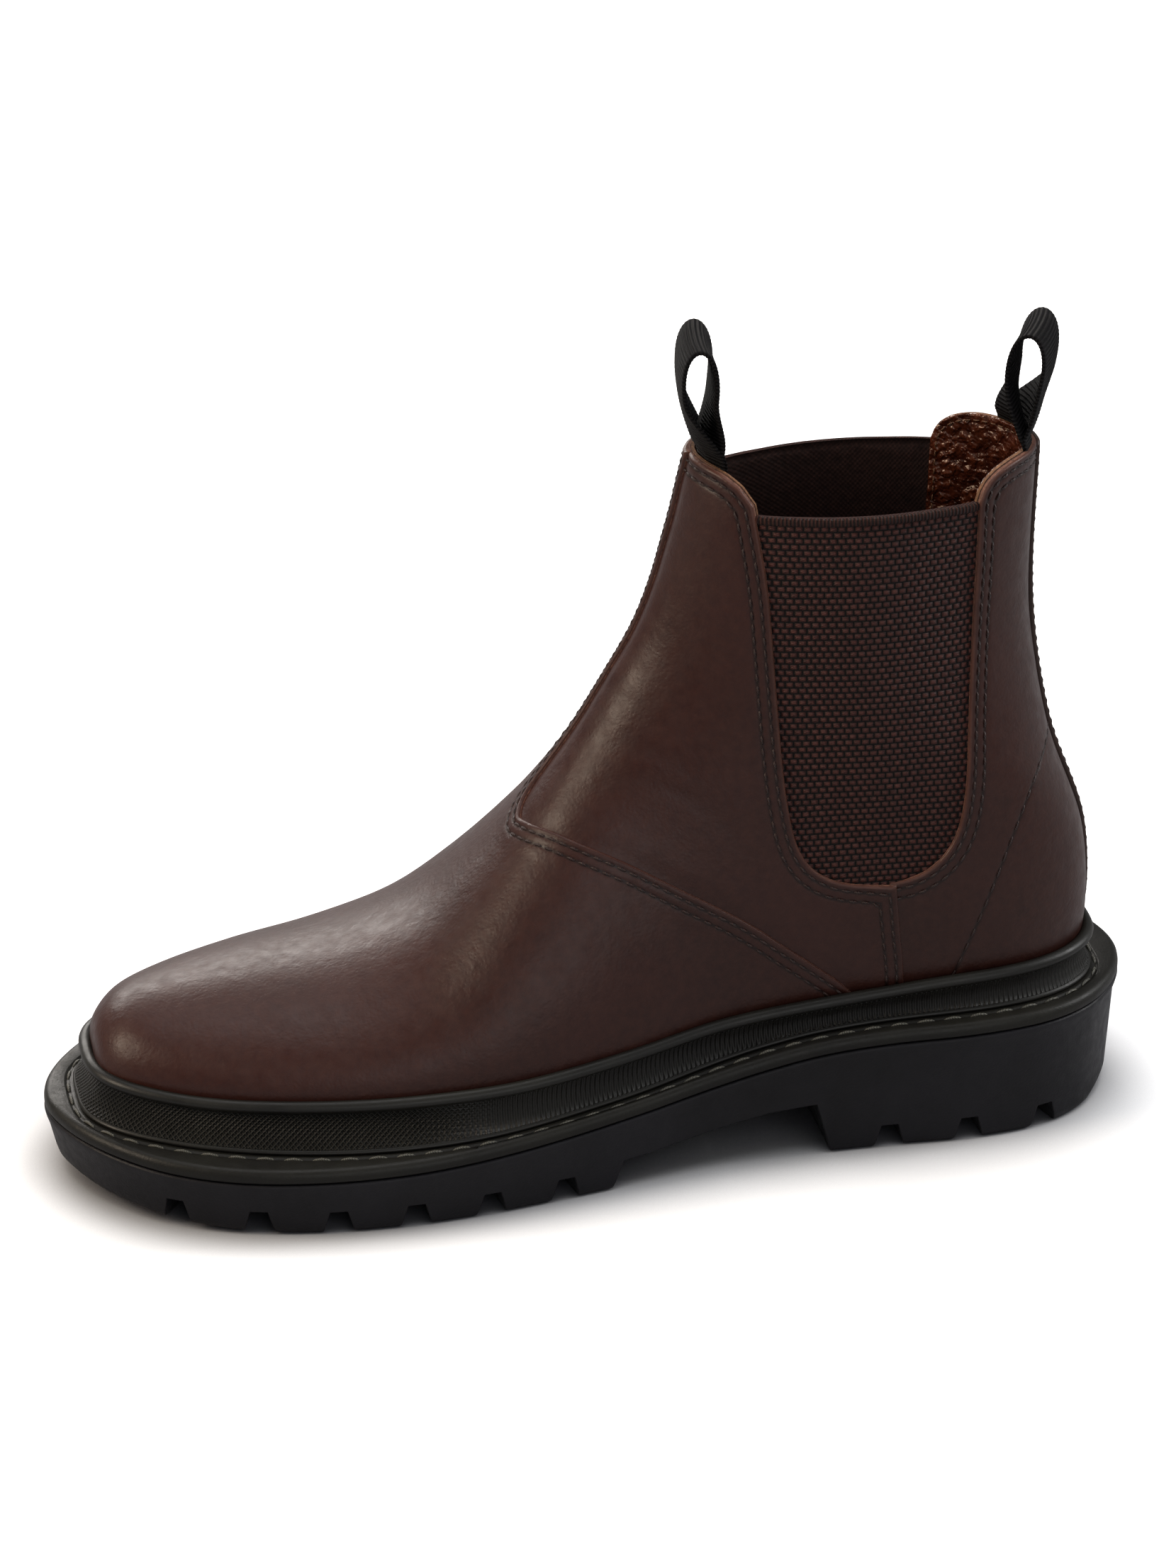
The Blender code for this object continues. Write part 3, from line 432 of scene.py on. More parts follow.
def add_fields(patch):
    a, m, z = patch["p"].T
    top, window = np.empty(len(a)), np.empty(len(a))
    for inner, drop in ((m >= 0, 0.0), (m < 0, OUTER_GORE_DROP)):
        path = gore_path(drop)
        edge = np.vstack([smooth_line(EAR_FRONT), path, smooth_line(EAR_REAR)])
        opening = np.vstack([[(170, 240), (170, 188)], edge, [(-30, 185), (-30, 240)]])
        top[inner] = polygon_side(a[inner], z[inner], opening)
        u = np.vstack([[(107.9, 240)], path, [(48, 240)]])
        window[inner] = polygon_side(a[inner], z[inner], u)
    patch["top"] = distance_field(patch, top)
    patch["window"] = distance_field(patch, window)
    seam = line_side(a, z, smooth_line(INNER_SEAM, 5)[::-1])
    shin = m - np.interp(z, *np.array(SHIN_SEAM).T)
    patch["vee"] = distance_field(patch, smooth_min(seam, shin, 9.0))
    patch["side"] = distance_field(patch, line_side(a, z, smooth_line(SIDE_SEAM, 4)))
    patch["counter"] = distance_field(patch, line_side(a, z, smooth_line(COUNTER_LINE, 5)))
    patch["middle"] = m
    patch["rise"] = z - height_along(LEDGE, a)
    patch["back"] = np.where(a < 60, np.abs(m), 60.0)
    patch["a"], patch["z"] = a, z
    return patch


# ---------------------------------------------------------------- objects
def new_object(name, points, faces, materials, face_material=None, uvs=None, fields=None, body="boot"):
    """A mesh object from boot coordinates that rides on a body."""
    mesh = bpy.data.meshes.new(name)
    mesh.from_pydata(to_world(points).tolist(), [], [list(map(int, f)) for f in faces])
    obj = bpy.data.objects.new(name, mesh)
    bpy.context.scene.collection.objects.link(obj)
    for material in materials:
        mesh.materials.append(material)
    if face_material is not None:
        mesh.polygons.foreach_set("material_index", np.asarray(face_material, np.int32))
    if uvs is not None:
        layer = mesh.uv_layers.new(name="UVMap")
        loops = np.empty(len(mesh.loops), np.int32)
        mesh.loops.foreach_get("vertex_index", loops)
        layer.data.foreach_set("uv", np.asarray(uvs, np.float32)[loops].ravel())
    for key, values in (fields or {}).items():
        attribute = mesh.attributes.new(key, "FLOAT", "POINT")
        attribute.data.foreach_set("value", np.asarray(values, np.float32))
    mesh.polygons.foreach_set("use_smooth", np.ones(len(mesh.polygons), bool))
    mesh.update()
    if body:
        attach(obj, body)
    return obj


def skin(rings, count):
    """Quads between the neighbouring closed rings of a stack."""
    return [
        (i * count + j, i * count + (j + 1) % count, (i + 1) * count + (j + 1) % count, (i + 1) * count + j)
        for i in range(rings - 1)
        for j in range(count)
    ]


def boundary_edges(tris):
    """Directed edges that only one triangle uses."""
    edges = np.concatenate([tris[:, [0, 1]], tris[:, [1, 2]], tris[:, [2, 0]]])
    _, index, count = np.unique(np.sort(edges, 1), axis=0, return_inverse=True, return_counts=True)
    return edges[count[index.reshape(-1)] == 1]


def sheet(name, node, patch, outer, inner, materials, fields, drop=0.0, uvs=None):
    """Turns a patch into leather or cloth with a thickness: outer face, inner face and cut edge.

    The materials are those of the outer face, the cut edge and the inner face. The sheet replaces a CAD node.
    """
    p, n, t = patch["p"], patch["n"], patch["t"]
    size = len(p)
    top = p + n * np.broadcast_to(outer, size)[:, None]
    low = p + n * np.broadcast_to(inner, size)[:, None]
    top = top - n * np.broadcast_to(drop, size)[:, None]
    rim = boundary_edges(t)
    # the cut edge has its own points, so that its shading stays crisp
    ids = np.unique(rim)
    slot = np.full(size, -1)
    slot[ids] = np.arange(len(ids))
    upper_rim, lower_rim = 2 * size + slot, 2 * size + len(ids) + slot
    points = np.vstack([top, low, top[ids], low[ids]])
    wall = np.concatenate([
        np.column_stack([upper_rim[rim[:, 1]], upper_rim[rim[:, 0]], lower_rim[rim[:, 0]]]),
        np.column_stack([upper_rim[rim[:, 1]], lower_rim[rim[:, 0]], lower_rim[rim[:, 1]]]),
    ])
    faces = np.concatenate([t, t[:, ::-1] + size, wall])
    marks = np.repeat([0, 2, 1], [len(t), len(t), len(wall)])
    take = np.concatenate([np.arange(size), np.arange(size), ids, ids])
    kept = {key: patch[key][take] for key in fields}
    obj = new_object(name, points, faces, materials, marks, None if uvs is None else uvs[take], kept)
    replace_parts(obj, node)


def lengths(points):
    """Distance along a polyline at each of its points."""
    return np.concatenate([[0], np.cumsum(np.linalg.norm(np.diff(points, axis=0), axis=1))])


def read_at(at, reach, points):
    return np.column_stack([np.interp(at, reach, column) for column in points.T])


def resample(points, normals, pitch):
    reach = lengths(points)
    at = np.linspace(0, reach[-1], max(2, int(reach[-1] / pitch) + 1))
    return read_at(at, reach, points), read_at(at, reach, normals)


def smooth_chain(points, passes=4):
    out = points.copy()
    for _ in range(passes):
        out[1:-1] = 0.25 * out[:-2] + 0.5 * out[1:-1] + 0.25 * out[2:]
    return out


class Threads:
    """Collects single stitches as small capsules into one mesh."""

    SIDES = 6

    def __init__(self):
        self.points, self.faces = [], []

    def stitch(self, start, end, normal, radius, sink=0.35):
        along = unit(end - start)
        side = unit(np.cross(along, normal))
        lift = np.cross(side, along)
        length = np.linalg.norm(end - start)
        base = len(self.points)
        # share of the length, size and height of each ring: the ends go down into the needle holes
        rings = (
            (0.0, 0.35, -sink), (0.14, 0.85, -0.05), (0.5, 1.0, 0.18), (0.86, 0.85, -0.05),
            (1.0, 0.35, -sink),
        )
        for t, size, height in rings:
            centre = start + along * length * t + lift * radius * height * 2
            for k in range(self.SIDES):
                angle = 2 * math.pi / self.SIDES * k
                across = side * math.cos(angle) * 1.1 + lift * math.sin(angle)
                self.points.append(centre + across * radius * size)
        ends = [tuple(reversed(range(self.SIDES)))]
        ends.append(tuple((len(rings) - 1) * self.SIDES + k for k in range(self.SIDES)))
        for face in skin(len(rings), self.SIDES) + ends:
            self.faces.append(tuple(base + k for k in face))

    def row(self, points, normals, lift, radius=0.34, length=STITCH, gap=STITCH_GAP, smooth=5):
        points, normals = resample(smooth_chain(points, smooth), normals, length + gap)
        share = gap / 2 / (length + gap)
        for p, q, n in zip(points[:-1], points[1:], normals[:-1]):
            step = q - p
            self.stitch(p + step * share + n * lift, q - step * share + n * lift, n, radius)

    def rows_at(self, surface, field, level, low, *sizes):
        """Rows where a field has a level, as far down as a height over the ledge."""
        for points, normals, rise in level_chains(surface, surface[field], level, ("rise",)):
            shown = rise > low
            if len(points) > MIN_CHAIN and shown.any():
                self.row(points[shown], normals[shown], *sizes)

    def zigzag(self, points, normals, lift, half=1.3, pitch=1.7, radius=0.2):
        points, normals = resample(smooth_chain(points, 5), normals, pitch)
        side = unit(np.cross(np.gradient(points, axis=0), normals))
        swing = np.where(np.arange(len(points)) % 2 == 0, half, -half)[:, None]
        points = points + side * swing + normals * lift
        for p, q, n in zip(points[:-1], points[1:], normals[:-1]):
            self.stitch(p, q, n, radius, 0.2)

    def build(self, name, material):
        return new_object(name, np.array(self.points), self.faces, [material])


# ---------------------------------------------------------------- upper
def rounding(edge, radius):
    d = np.clip(edge, 0, radius)
    return radius - np.sqrt(np.maximum(radius**2 - (radius - d) ** 2, 0))


def lap(distance, reach):
    """1 at the seam, falling to 0 at reach."""
    return 1 - smooth_step(np.abs(distance), 0, reach)


# Creases: centre a, m and z, length, width, depth and tilt.
CREASES = [
    (128, -30, 103, 22, 1.7, 0.34, 0.35), (124, -31, 96, 24, 1.9, 0.38, 0.40),
    (120, -33, 89, 20, 1.8, 0.30, 0.42), (133, 26, 113, 16, 2.2, 0.20, 0.30),
    (129, 28, 104, 18, 2.4, 0.22, 0.34), (139, 12, 124, 10, 1.8, 0.16, 0.25),
    (112, -33, 80, 18, 2.2, 0.22, 0.40),
]
CREASE_REACH_M = 16.0


def folds(p):
    """Walking creases under the gores and at the throat, in millimetres of height."""
    a, m, z = p.T
    out = np.zeros(len(p))
    for ca, cm, cz, along, across, amount, tilt in CREASES:
        da, dz = a - ca, z - cz
        x = da * math.cos(tilt) + dz * math.sin(tilt)
        y = -da * math.sin(tilt) + dz * math.cos(tilt)
        near = np.exp(-((x / along) ** 2) - ((m - cm) / CREASE_REACH_M) ** 2)
        out -= amount * near * np.exp(-((y + 0.02 * x**2) / across) ** 2)
    return out


def leather_skin(patch):
    """Slow unevenness and creases of lasted leather."""
    return wave_noise(patch["p"], 46.0, 5, 2) * 0.16 + folds(patch["p"])


def groove(edge, rows, depth=0.24, width=0.55):
    out = np.zeros(len(edge))
    for row in rows:
        out -= depth * np.exp(-(((edge - row) / width) ** 2))
    return out


def raised(patch, outer, drop):
    """The patch as it lies on the finished surface."""
    return {**patch, "p": patch["p"] + patch["n"] * (outer - drop)[:, None]}


def leather_panel(name, node, patch, edges, height, threads, line=None):
    """One leather panel: clipped patch, rounded cut edge, stitched rows beside the edges."""
    patch = dict(patch)
    patch["edge"] = np.minimum(99.0, np.min([patch[field] * sign for field, sign in edges], axis=0))
    patch = refine(clip(patch, "edge"), "edge", EDGE_LEVELS)
    patch["line"] = np.zeros(len(patch["p"]))
    if line:
        patch = refine(patch, line, COUNTER_LEVELS)
        patch["line"] = np.clip(1.2 - np.abs(patch[line]) / 0.6, 0, 1)
    outer = height(patch) + leather_skin(patch) + groove(patch["edge"], ROWS) - COUNTER_DENT * patch["line"]
    drop = rounding(patch["edge"], CUT_RADIUS)
    # how deep the walking creases lie; the leather is painted darker there, as shade
    patch["crease"] = np.clip(-folds(patch["p"]) * 4, 0, 1)
    # only the edges at the mouth and the gores get the full lighter edge band: partly wear of the cut fibres,
    # partly a painted highlight on the rounded edge
    patch["bare"] = 1 - 0.75 * smooth_step(patch["top"] - patch["edge"], 0.5, 2.5)
    surface = raised(patch, outer, drop)
    for row in ROWS:
        threads.rows_at(surface, "edge", row, THREADS_FROM, 0.12)
    fields = ("edge", "crease", "rise", "line", "bare")
    sheet(name, node, patch, outer, FLESH_DEPTH, [LEATHER, RAW_EDGE, FLESH], fields, drop)
    return surface


def build_upper():
    base = clip(add_fields(base_patch()), "rise", UPPER_FOOT)
    base = clip(base, "z", UPPER_CEILING, -1.0)
    threads = Threads()
    front = clip(base, "side")
    leather_panel(
        "inner_front_quarter", "medial_quarter", clip(front, "vee", -VAMP_UNDERLAP),
        (("top", 1), ("side", 1)),
        lambda q: -0.5 * lap(q["vee"], 5.0) + 0.55 * lap(q["side"], 9.0), threads,
    )
    leather_panel(
        "vamp_and_outer_quarter", "vamp", clip(front, "vee", 0.0, -1.0),
        (("top", 1), ("side", 1), ("vee", -1)),
        lambda q: 0.55 * lap(q["vee"], 9.0) + 0.5 * lap(q["side"], 9.0), threads,
    )
    rear = clip(base, "side", VAMP_UNDERLAP, -1.0)
    for name, node, sign in (
        ("inner_heel_quarter", "heel_quarter_medial", 1), ("outer_heel_quarter", "heel_quarter_lateral", -1),
    ):
        half = clip(rear, "middle", 0.0, sign)
        surface = leather_panel(
            name, node, half, (("top", 1),), lambda q: -0.45 * lap(q["side"], 5.0), threads, "counter"
        )
        threads.rows_at(surface, "counter", 0.0, THREADS_FROM, 0.05, 0.3, 3.0, 1.3)
    build_back_strip(base, threads)
    threads.build("upper_stitching", THREAD)
    build_gores(base)
    build_linings(base)


def build_back_strip(base, threads):
    strip = dict(base)
    strip["edge"] = np.minimum(BACK_STRIP_HALF_WIDTH - strip["back"], strip["top"] - 0.2)
    strip = refine(clip(strip, "edge"), "edge", (0.15, 0.5, 1.0, 1.6, 2.2))
    outer = 1.15 + groove(strip["edge"], (STRIP_ROW,), 0.2, 0.4)
    drop = rounding(strip["edge"], 0.7)
    strip["crease"], strip["bare"] = np.zeros(len(outer)), np.ones(len(outer))
    threads.rows_at(raised(strip, outer, drop), "edge", STRIP_ROW, STRIP_THREADS_FROM, 0.06, 0.26, 2.2, 0.9)
    materials = [STRIP_LEATHER, STRIP_LEATHER, FLESH]
    fields = ("edge", "crease", "rise", "bare")
    sheet("back_seam_strip", "back_strip", strip, outer, 0.0, materials, fields, drop)


def build_gores(base):
    for name, node, sign in (("inner_gore", "gore_medial", 1), ("outer_gore", "gore_lateral", -1)):
        patch = clip(base, "middle", 0.0, sign)
        patch = clip(patch, "window", GORE_UNDERLAP, -1.0)
        patch = clip(patch, "z", GORE_TOP_Z, -1.0)
        patch = refine(patch, "z", [GORE_TOP_Z - d for d in (0.3, 0.8, 1.8, 2.3)])
        down = GORE_TOP_Z - patch["z"]
        hollow = 0.8 * smooth_step(-patch["window"], 0, 14)
        rim = 0.45 * (1 - smooth_step(down, 1.7, 2.3))
        outer = -1.15 - hollow + rim - rounding(down, 0.8) * 0.8
        uvs = patch["p"][:, [0, 2]]
        sheet(name, node, patch, outer, outer - 1.3, [GORE, GORE_EDGE, GORE_BACK], (), uvs=uvs)


def build_linings(base):
    threads = Threads()
    patch = dict(base)
    a, z = patch["a"], patch["z"]
    patch["rear_in"] = np.where(a < 75, np.minimum(z - np.interp(a, *np.array(REAR_COLLAR).T), 60.0), -20.0)
    patch["front_in"] = np.where(a > 85, np.minimum(z - FRONT_COLLAR_Z, 60.0), -20.0)
    for end in ("rear", "front"):
        field = end + "_in"
        q = dict(patch)
        q["edge"] = np.minimum(q[field], q["top"] + 0.3)
        q = refine(clip(q, "edge"), "edge", (0.15, 0.5, 1.0))
        crumple = wave_noise(q["p"], 7.0, 11, 3) * 0.22
        inner = -3.1 + crumple * smooth_step(q["edge"], 0, 3) + rounding(q["edge"], 0.5)
        q["crease"] = np.zeros(len(inner))
        layers = [FLESH, LINING_EDGE, LINING_LEATHER]
        sheet(end + "_collar_leather", end + "_collar_lining", q, -1.75, inner, layers, ("edge", "crease"))
        for points, normals in level_chains(q, q["edge"], 1.7):
            if len(points) > MIN_CHAIN:
                threads.row(points - normals * 3.15, -normals, 0.06, 0.2, 1.8, 0.7)
        for points, normals in level_chains(q, q[field], 1.2):
            if len(points) > MIN_CHAIN:
                threads.zigzag(points - normals * 3.2, -normals, 0.05)
    threads.build("collar_stitching", LINING_THREAD)
    q = clip(patch, "top")
    q["edge"] = q["top"]
    # the textile lies inside the stiffeners, and comes up under the collar leather
    under_collar = smooth_step(np.maximum(q["rear_in"], q["front_in"]), -9.0, -1.0)
    outer = -3.4 + 1.78 * under_collar
    inner = outer - 0.7 + 0.62 * under_collar
    uvs = np.column_stack([q["a"], q["z"]])
    sheet("textile_lining", "foot_lining", q, outer, inner, [TEXTILE] * 3, ("edge",), uvs=uvs)


# ---------------------------------------------------------------- bottom
LOOP_POINTS = 720
TOE_SPRING = 5.5
TOE_SPRING_FROM = 225.0
HEEL_BEVEL = 13.0
HEEL_BEVEL_RISE = 0.33
SIDE_TAPER = 2.9
ARCH_GAP = [
    (87.4, -5.0), (87.8, 0.0), (92.2, 15.5), (105, 14.8), (122, 12.2), (138, 9.4), (146, 8.6), (149, 0.0),
    (149.5, -5.0),
]
NOTCH_PITCH = 20.3
NOTCH_FIRST_A = 263.6
NOTCH_COUNT = 6
HEEL_NOTCH_A = (71.9, 50.1, 28.4)
# Width at the floor (the taper goes on below it) and at the roof.
NOTCH_WIDTH = (10.0, 4.6)
NOTCH_HEIGHT = 6.8
NOTCH_REACH = (-6.0, 14.0)
# Cross grooves: width at the floor, width at the roof and depth.
CENTRE_GROOVE = (5.0, 3.4, 4.0)
CENTRE_GROOVE_HALF = 20.0
CENTRE_GROOVE_M = -2.0
BELOW_FLOOR = -3.0

# The welt's top face, how far it is from the upper to the foot of the rand's wall, and how far the bead
# lies below the rand's top line.
WELT_LEVEL = [
    (0, 36.6), (40, 36.2), (72, 35.6), (90, 34.4), (105, 32.2), (125, 28.6), (145, 25.4), (174, 22.2),
    (206, 20.2), (250, 20.0), (295, 22.4),
]
WALL_FOOT = [
    (0, 4.0), (30, 3.4), (80, 2.9), (150, 2.9), (185, 4.0), (215, 5.3), (250, 5.2), (280, 4.2), (295, 4.0),
]
BEAD_DROP = [(0, 2.0), (120, 2.5), (220, 2.9), (295, 2.9)]
EDGE_THICKNESS = 3.7
# Room kept on the welt outside the wall's foot, and the stitched seam's distance from that foot and from
# the rim.
LEDGE_ROOM = 4.9
SEAM_FROM_FOOT = 2.3
SEAM_FROM_RIM = 2.5
# Profiles: (outward, height) at the rand's foot and lip, round the seam's groove, and (inset, height)
# at the rim.
RAND_FOOT = [(-1.6, 0.05), (0.35, 0.05), (0.8, 0.45), (0.85, 0.9), (0.45, 1.3), (0.0, 1.5)]
RAND_LIP = [
    (1.5, -3.9), (1.6, -3.65), (2.3, -3.3), (2.95, -2.75), (3.3, -2.1), (3.35, -1.5), (3.1, -0.9),
    (2.6, -0.4), (2.0, -0.1), (1.35, -0.05), (0.7, -0.3), (0.1, -0.8), (-0.6, -2.0),
]
SEAM_GROOVE = [(-1.0, 0.0), (-0.62, -0.02), (-0.42, -0.4), (0.42, -0.4), (0.62, -0.02), (1.0, 0.0)]
WELT_RIM = [
    (2.1, 0.0), (1.3, -0.14), (0.6, -0.6), (0.15, -1.3), (0.0, -2.0), (0.0, -2.9), (0.15, -3.35), (0.5, -3.6),
    (1.2, -3.65), (6.0, -3.65),
]
WALL_HOLLOW = 0.9


def sole_bottom(a):
    toe = np.clip((a - TOE_SPRING_FROM) / (SOLE_LENGTH - TOE_SPRING_FROM), 0, None)
    heel = np.clip(HEEL_BEVEL - a, 0, None)
    return TOE_SPRING * toe**1.8 + HEEL_BEVEL_RISE * heel


def closed_curve(points, per_segment):
    p = np.array(points, float)
    count = len(p)
    t = np.arange(count * per_segment) / per_segment
    i = np.floor(t).astype(int)
    s = (t - i)[:, None]
    p0, p1, p2, p3 = p[(i - 1) % count], p[i % count], p[(i + 1) % count], p[(i + 2) % count]
    square, cube = 2 * p0 - 5 * p1 + 4 * p2 - p3, 3 * p1 - p0 - 3 * p2 + p3
    return 0.5 * (2 * p1 + (p2 - p0) * s + square * s**2 + cube * s**3)


def sole_curve(per_segment):
    return closed_curve(OUTLINE_INNER + OUTLINE_OUTER[-2:0:-1], per_segment)


def outward(loop):
    along = np.roll(loop, -1, 0) - np.roll(loop, 1, 0)
    normal = unit(np.column_stack([along[:, 1], -along[:, 0]]))
    x, y = loop.T
    return normal * np.sign(np.sum(x * np.roll(y, -1) - y * np.roll(x, -1)))


def even_loop(loop, count):
    closed = np.vstack([loop, loop[:1]])
    reach = lengths(closed)
    return read_at(np.linspace(0, reach[-1], count, endpoint=False), reach, closed)


def smooth_loop(loop, passes):
    for _ in range(passes):
        loop = 0.25 * np.roll(loop, 1, 0) + 0.5 * loop + 0.25 * np.roll(loop, -1, 0)
    return loop


def upper_outline(grid, level):
    """Plan loop where the upper reaches a height profile, found on every slice from its rear point up."""
    count = grid.shape[1]
    half = count // 2
    sides = []
    for order in (range(half, -1, -1), range(half, count + 1)):
        points = []
        for slice_points in grid:
            line = slice_points[[k % count for k in order]]
            over = line[:, 2] - level(line[:, 0])
            above = np.nonzero(over > 0)[0]
            if over[0] > 0 or len(above) == 0:
                continue
            k = above[0]
            share = over[k - 1] / (over[k - 1] - over[k])
            points.append((line[k - 1] + (line[k] - line[k - 1]) * share)[:2])
        sides.append(np.array(points))
    loop = np.concatenate([sides[0][::-1], sides[1]])
    return even_loop(smooth_loop(even_loop(loop, LOOP_POINTS), 36), LOOP_POINTS)


def cast(origin, direction, target):
    """Distance from each origin along its direction to a closed plan loop."""
    start, end = target, np.roll(target, -1, 0)
    edge = end - start
    out = np.empty(len(origin))
    for i, (o, d) in enumerate(zip(origin, direction)):
        w = start - o
        cross = d[0] * edge[:, 1] - d[1] * edge[:, 0]
        cross = np.where(np.abs(cross) < 1e-12, 1e-12, cross)
        t = (w[:, 0] * edge[:, 1] - w[:, 1] * edge[:, 0]) / cross
        u = (w[:, 0] * d[1] - w[:, 1] * d[0]) / cross
        hit = (u >= 0) & (u <= 1) & (t > -20)
        out[i] = t[hit].min() if hit.any() else np.nan
    bad = np.isnan(out)
    out[bad] = np.interp(np.nonzero(bad)[0], np.nonzero(~bad)[0], out[~bad])
    return out


def recalculate(obj, closed=True):
    """Makes the faces agree, and for a closed body points them outwards."""
    bm = bmesh.new()
    bm.from_mesh(obj.data)
    bmesh.ops.recalc_face_normals(bm, faces=bm.faces[:])
    if closed and bm.calc_volume(signed=True) < 0:
        bmesh.ops.reverse_faces(bm, faces=bm.faces[:])
    bm.to_mesh(obj.data)
    bm.free()


def sweep(name, node, rings, material, heights, fields=None):
    """Open skin over closed loops of equal size; its UVs are millimetres along the loop and heights."""
    count = len(rings[0])
    reach = lengths(np.vstack([rings[0], rings[0][:1]]))[:-1]
    uvs = np.vstack([np.column_stack([reach, np.broadcast_to(h, count)]) for h in heights])
    obj = new_object(name, np.vstack(rings), skin(len(rings), count), [material], None, uvs, fields)
    recalculate(obj, closed=False)
    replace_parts(obj, node)


def with_height(loop, z):
    return np.column_stack([loop, z])


def build_bottom():
    grid = relax(upper_grid(ROWS_PER_STEP, SLICE_POINTS), GRID_PASSES)
    low = upper_outline(grid, lambda a: height_along(LEDGE, a) + RAND_LEVEL)
    normal = unit(smooth_loop(outward(low), 24))

    def moved(distance, z, start=low, way=normal):
        return with_height(start + way * np.reshape(distance, (-1, 1)), z)

    top_line = upper_outline(grid, lambda a: height_along(RAND_TOP, a) - 1.2)
    to_top = smooth_loop(cast(low, normal, top_line), 24)
    to_sole = smooth_loop(cast(low, normal, sole_curve(24)), 12)
    welt = moved(to_sole, np.zeros(LOOP_POINTS))[:, :2]
    a = low[:, 0]
    base = height_along(WELT_LEVEL, a)
    lip = height_along(RAND_TOP, a) - height_along(BEAD_DROP, a)
    foot = smooth_loop(np.minimum(height_along(WALL_FOOT, a), to_sole - LEDGE_ROOM), 160)

    rings = [moved(foot + n, base + z) for n, z in RAND_FOOT]
    wall_top, wall_rise = RAND_LIP[0]
    for share in (0.25, 0.5, 0.75):
        hollow = WALL_HOLLOW * math.sin(math.pi * share)
        z = (base + RAND_FOOT[-1][1]) * (1 - share) + (lip + wall_rise) * share
        rings.append(moved(foot * (1 - share) + (wall_top + to_top) * share - hollow, z))
    rings += [moved(to_top + n, lip + z) for n, z in RAND_LIP]
    wall_rings = range(len(RAND_FOOT) - 1, len(RAND_FOOT) + 4)
    fields = {
        "wall": np.repeat([float(i in wall_rings) for i in range(len(rings))], LOOP_POINTS),
        "toe": np.concatenate([smooth_step(ring[:, 0], 175, 215) for ring in rings]),
    }
    sweep("rand_with_beaded_lip", "rand", rings, RAND, [ring[:, 2] for ring in rings], fields)

    seam = smooth_loop(np.minimum(foot + SEAM_FROM_FOOT, to_sole - SEAM_FROM_RIM), 60)
    rings = [moved(0.0, base)] + [moved(seam + n, base + z) for n, z in SEAM_GROOVE]
    rim_base = height_along(WELT_LEVEL, welt[:, 0])
    rings += [moved(-inset, rim_base + z, welt, outward(welt)) for inset, z in WELT_RIM]
    sweep("welt_and_midsole", "midsole", rings, MIDSOLE, [float(i) for i in range(len(rings))])

    threads = Threads()
    line = moved(seam, base - 0.12)
    line = np.vstack([line, line[:1]])
    threads.row(line, np.tile([0.0, 0.0, 1.0], (len(line), 1)), 0.0, 0.42, 4.7, 2.5, 0)
    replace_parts(threads.build("welt_stitching", WELT_THREAD), "welt_thread")
    build_outsole()


def paired_loft(name, rings, materials):
    """Closed body through rings whose points j and count - j face each other."""
    count = len(rings[0])
    faces = skin(len(rings), count)
    for base in (0, (len(rings) - 1) * count):
        faces.append((base, base + 1, base + count - 1))
        for j in range(1, count // 2 - 1):
            faces.append((base + j, base + j + 1, base + count - j - 1, base + count - j))
        middle = count // 2
        faces.append((base + middle - 1, base + middle, base + middle + 1))
    obj = new_object(name, np.vstack(rings), faces, materials, body=None)
    recalculate(obj)
    return obj


PRISM_FACES = [(0, 1, 2, 3), (7, 6, 5, 4), (0, 4, 5, 1), (1, 5, 6, 2), (2, 6, 7, 3), (3, 7, 4, 0)]


def channel(centre, inward, along, widths, reach, roof):
    """Eight corners of a groove from below the floor to its roof, four at one end and four at the other."""
    corners = []
    (low, high), floor = widths, BELOW_FLOOR
    for distance in reach:
        for side, z in ((-low, floor), (low, floor), (high, roof), (-high, roof)):
            corners.append((*(centre + inward * distance + along * side / 2), z))
    return corners


def cut_channels(target, channels):
    faces = [tuple(8 * i + k for k in face) for i in range(len(channels)) for face in PRISM_FACES]
    cut(target, [corner for corners in channels for corner in corners], faces)


def cut(target, points, faces):
    cutter = new_object("cutter", np.array(points), faces, [], body=None)
    recalculate(cutter)
    modifier = target.modifiers.new("cut", "BOOLEAN")
    modifier.operation, modifier.solver = "DIFFERENCE", "EXACT"
    modifier.object, modifier.use_self = cutter, True
    graph = bpy.context.evaluated_depsgraph_get()
    mesh = bpy.data.meshes.new_from_object(target.evaluated_get(graph))
    target.modifiers.clear()
    target.data = mesh
    bpy.data.objects.remove(cutter)


def roof_over(a, rise):
    return float(sole_bottom(np.array([a]))[0]) + rise


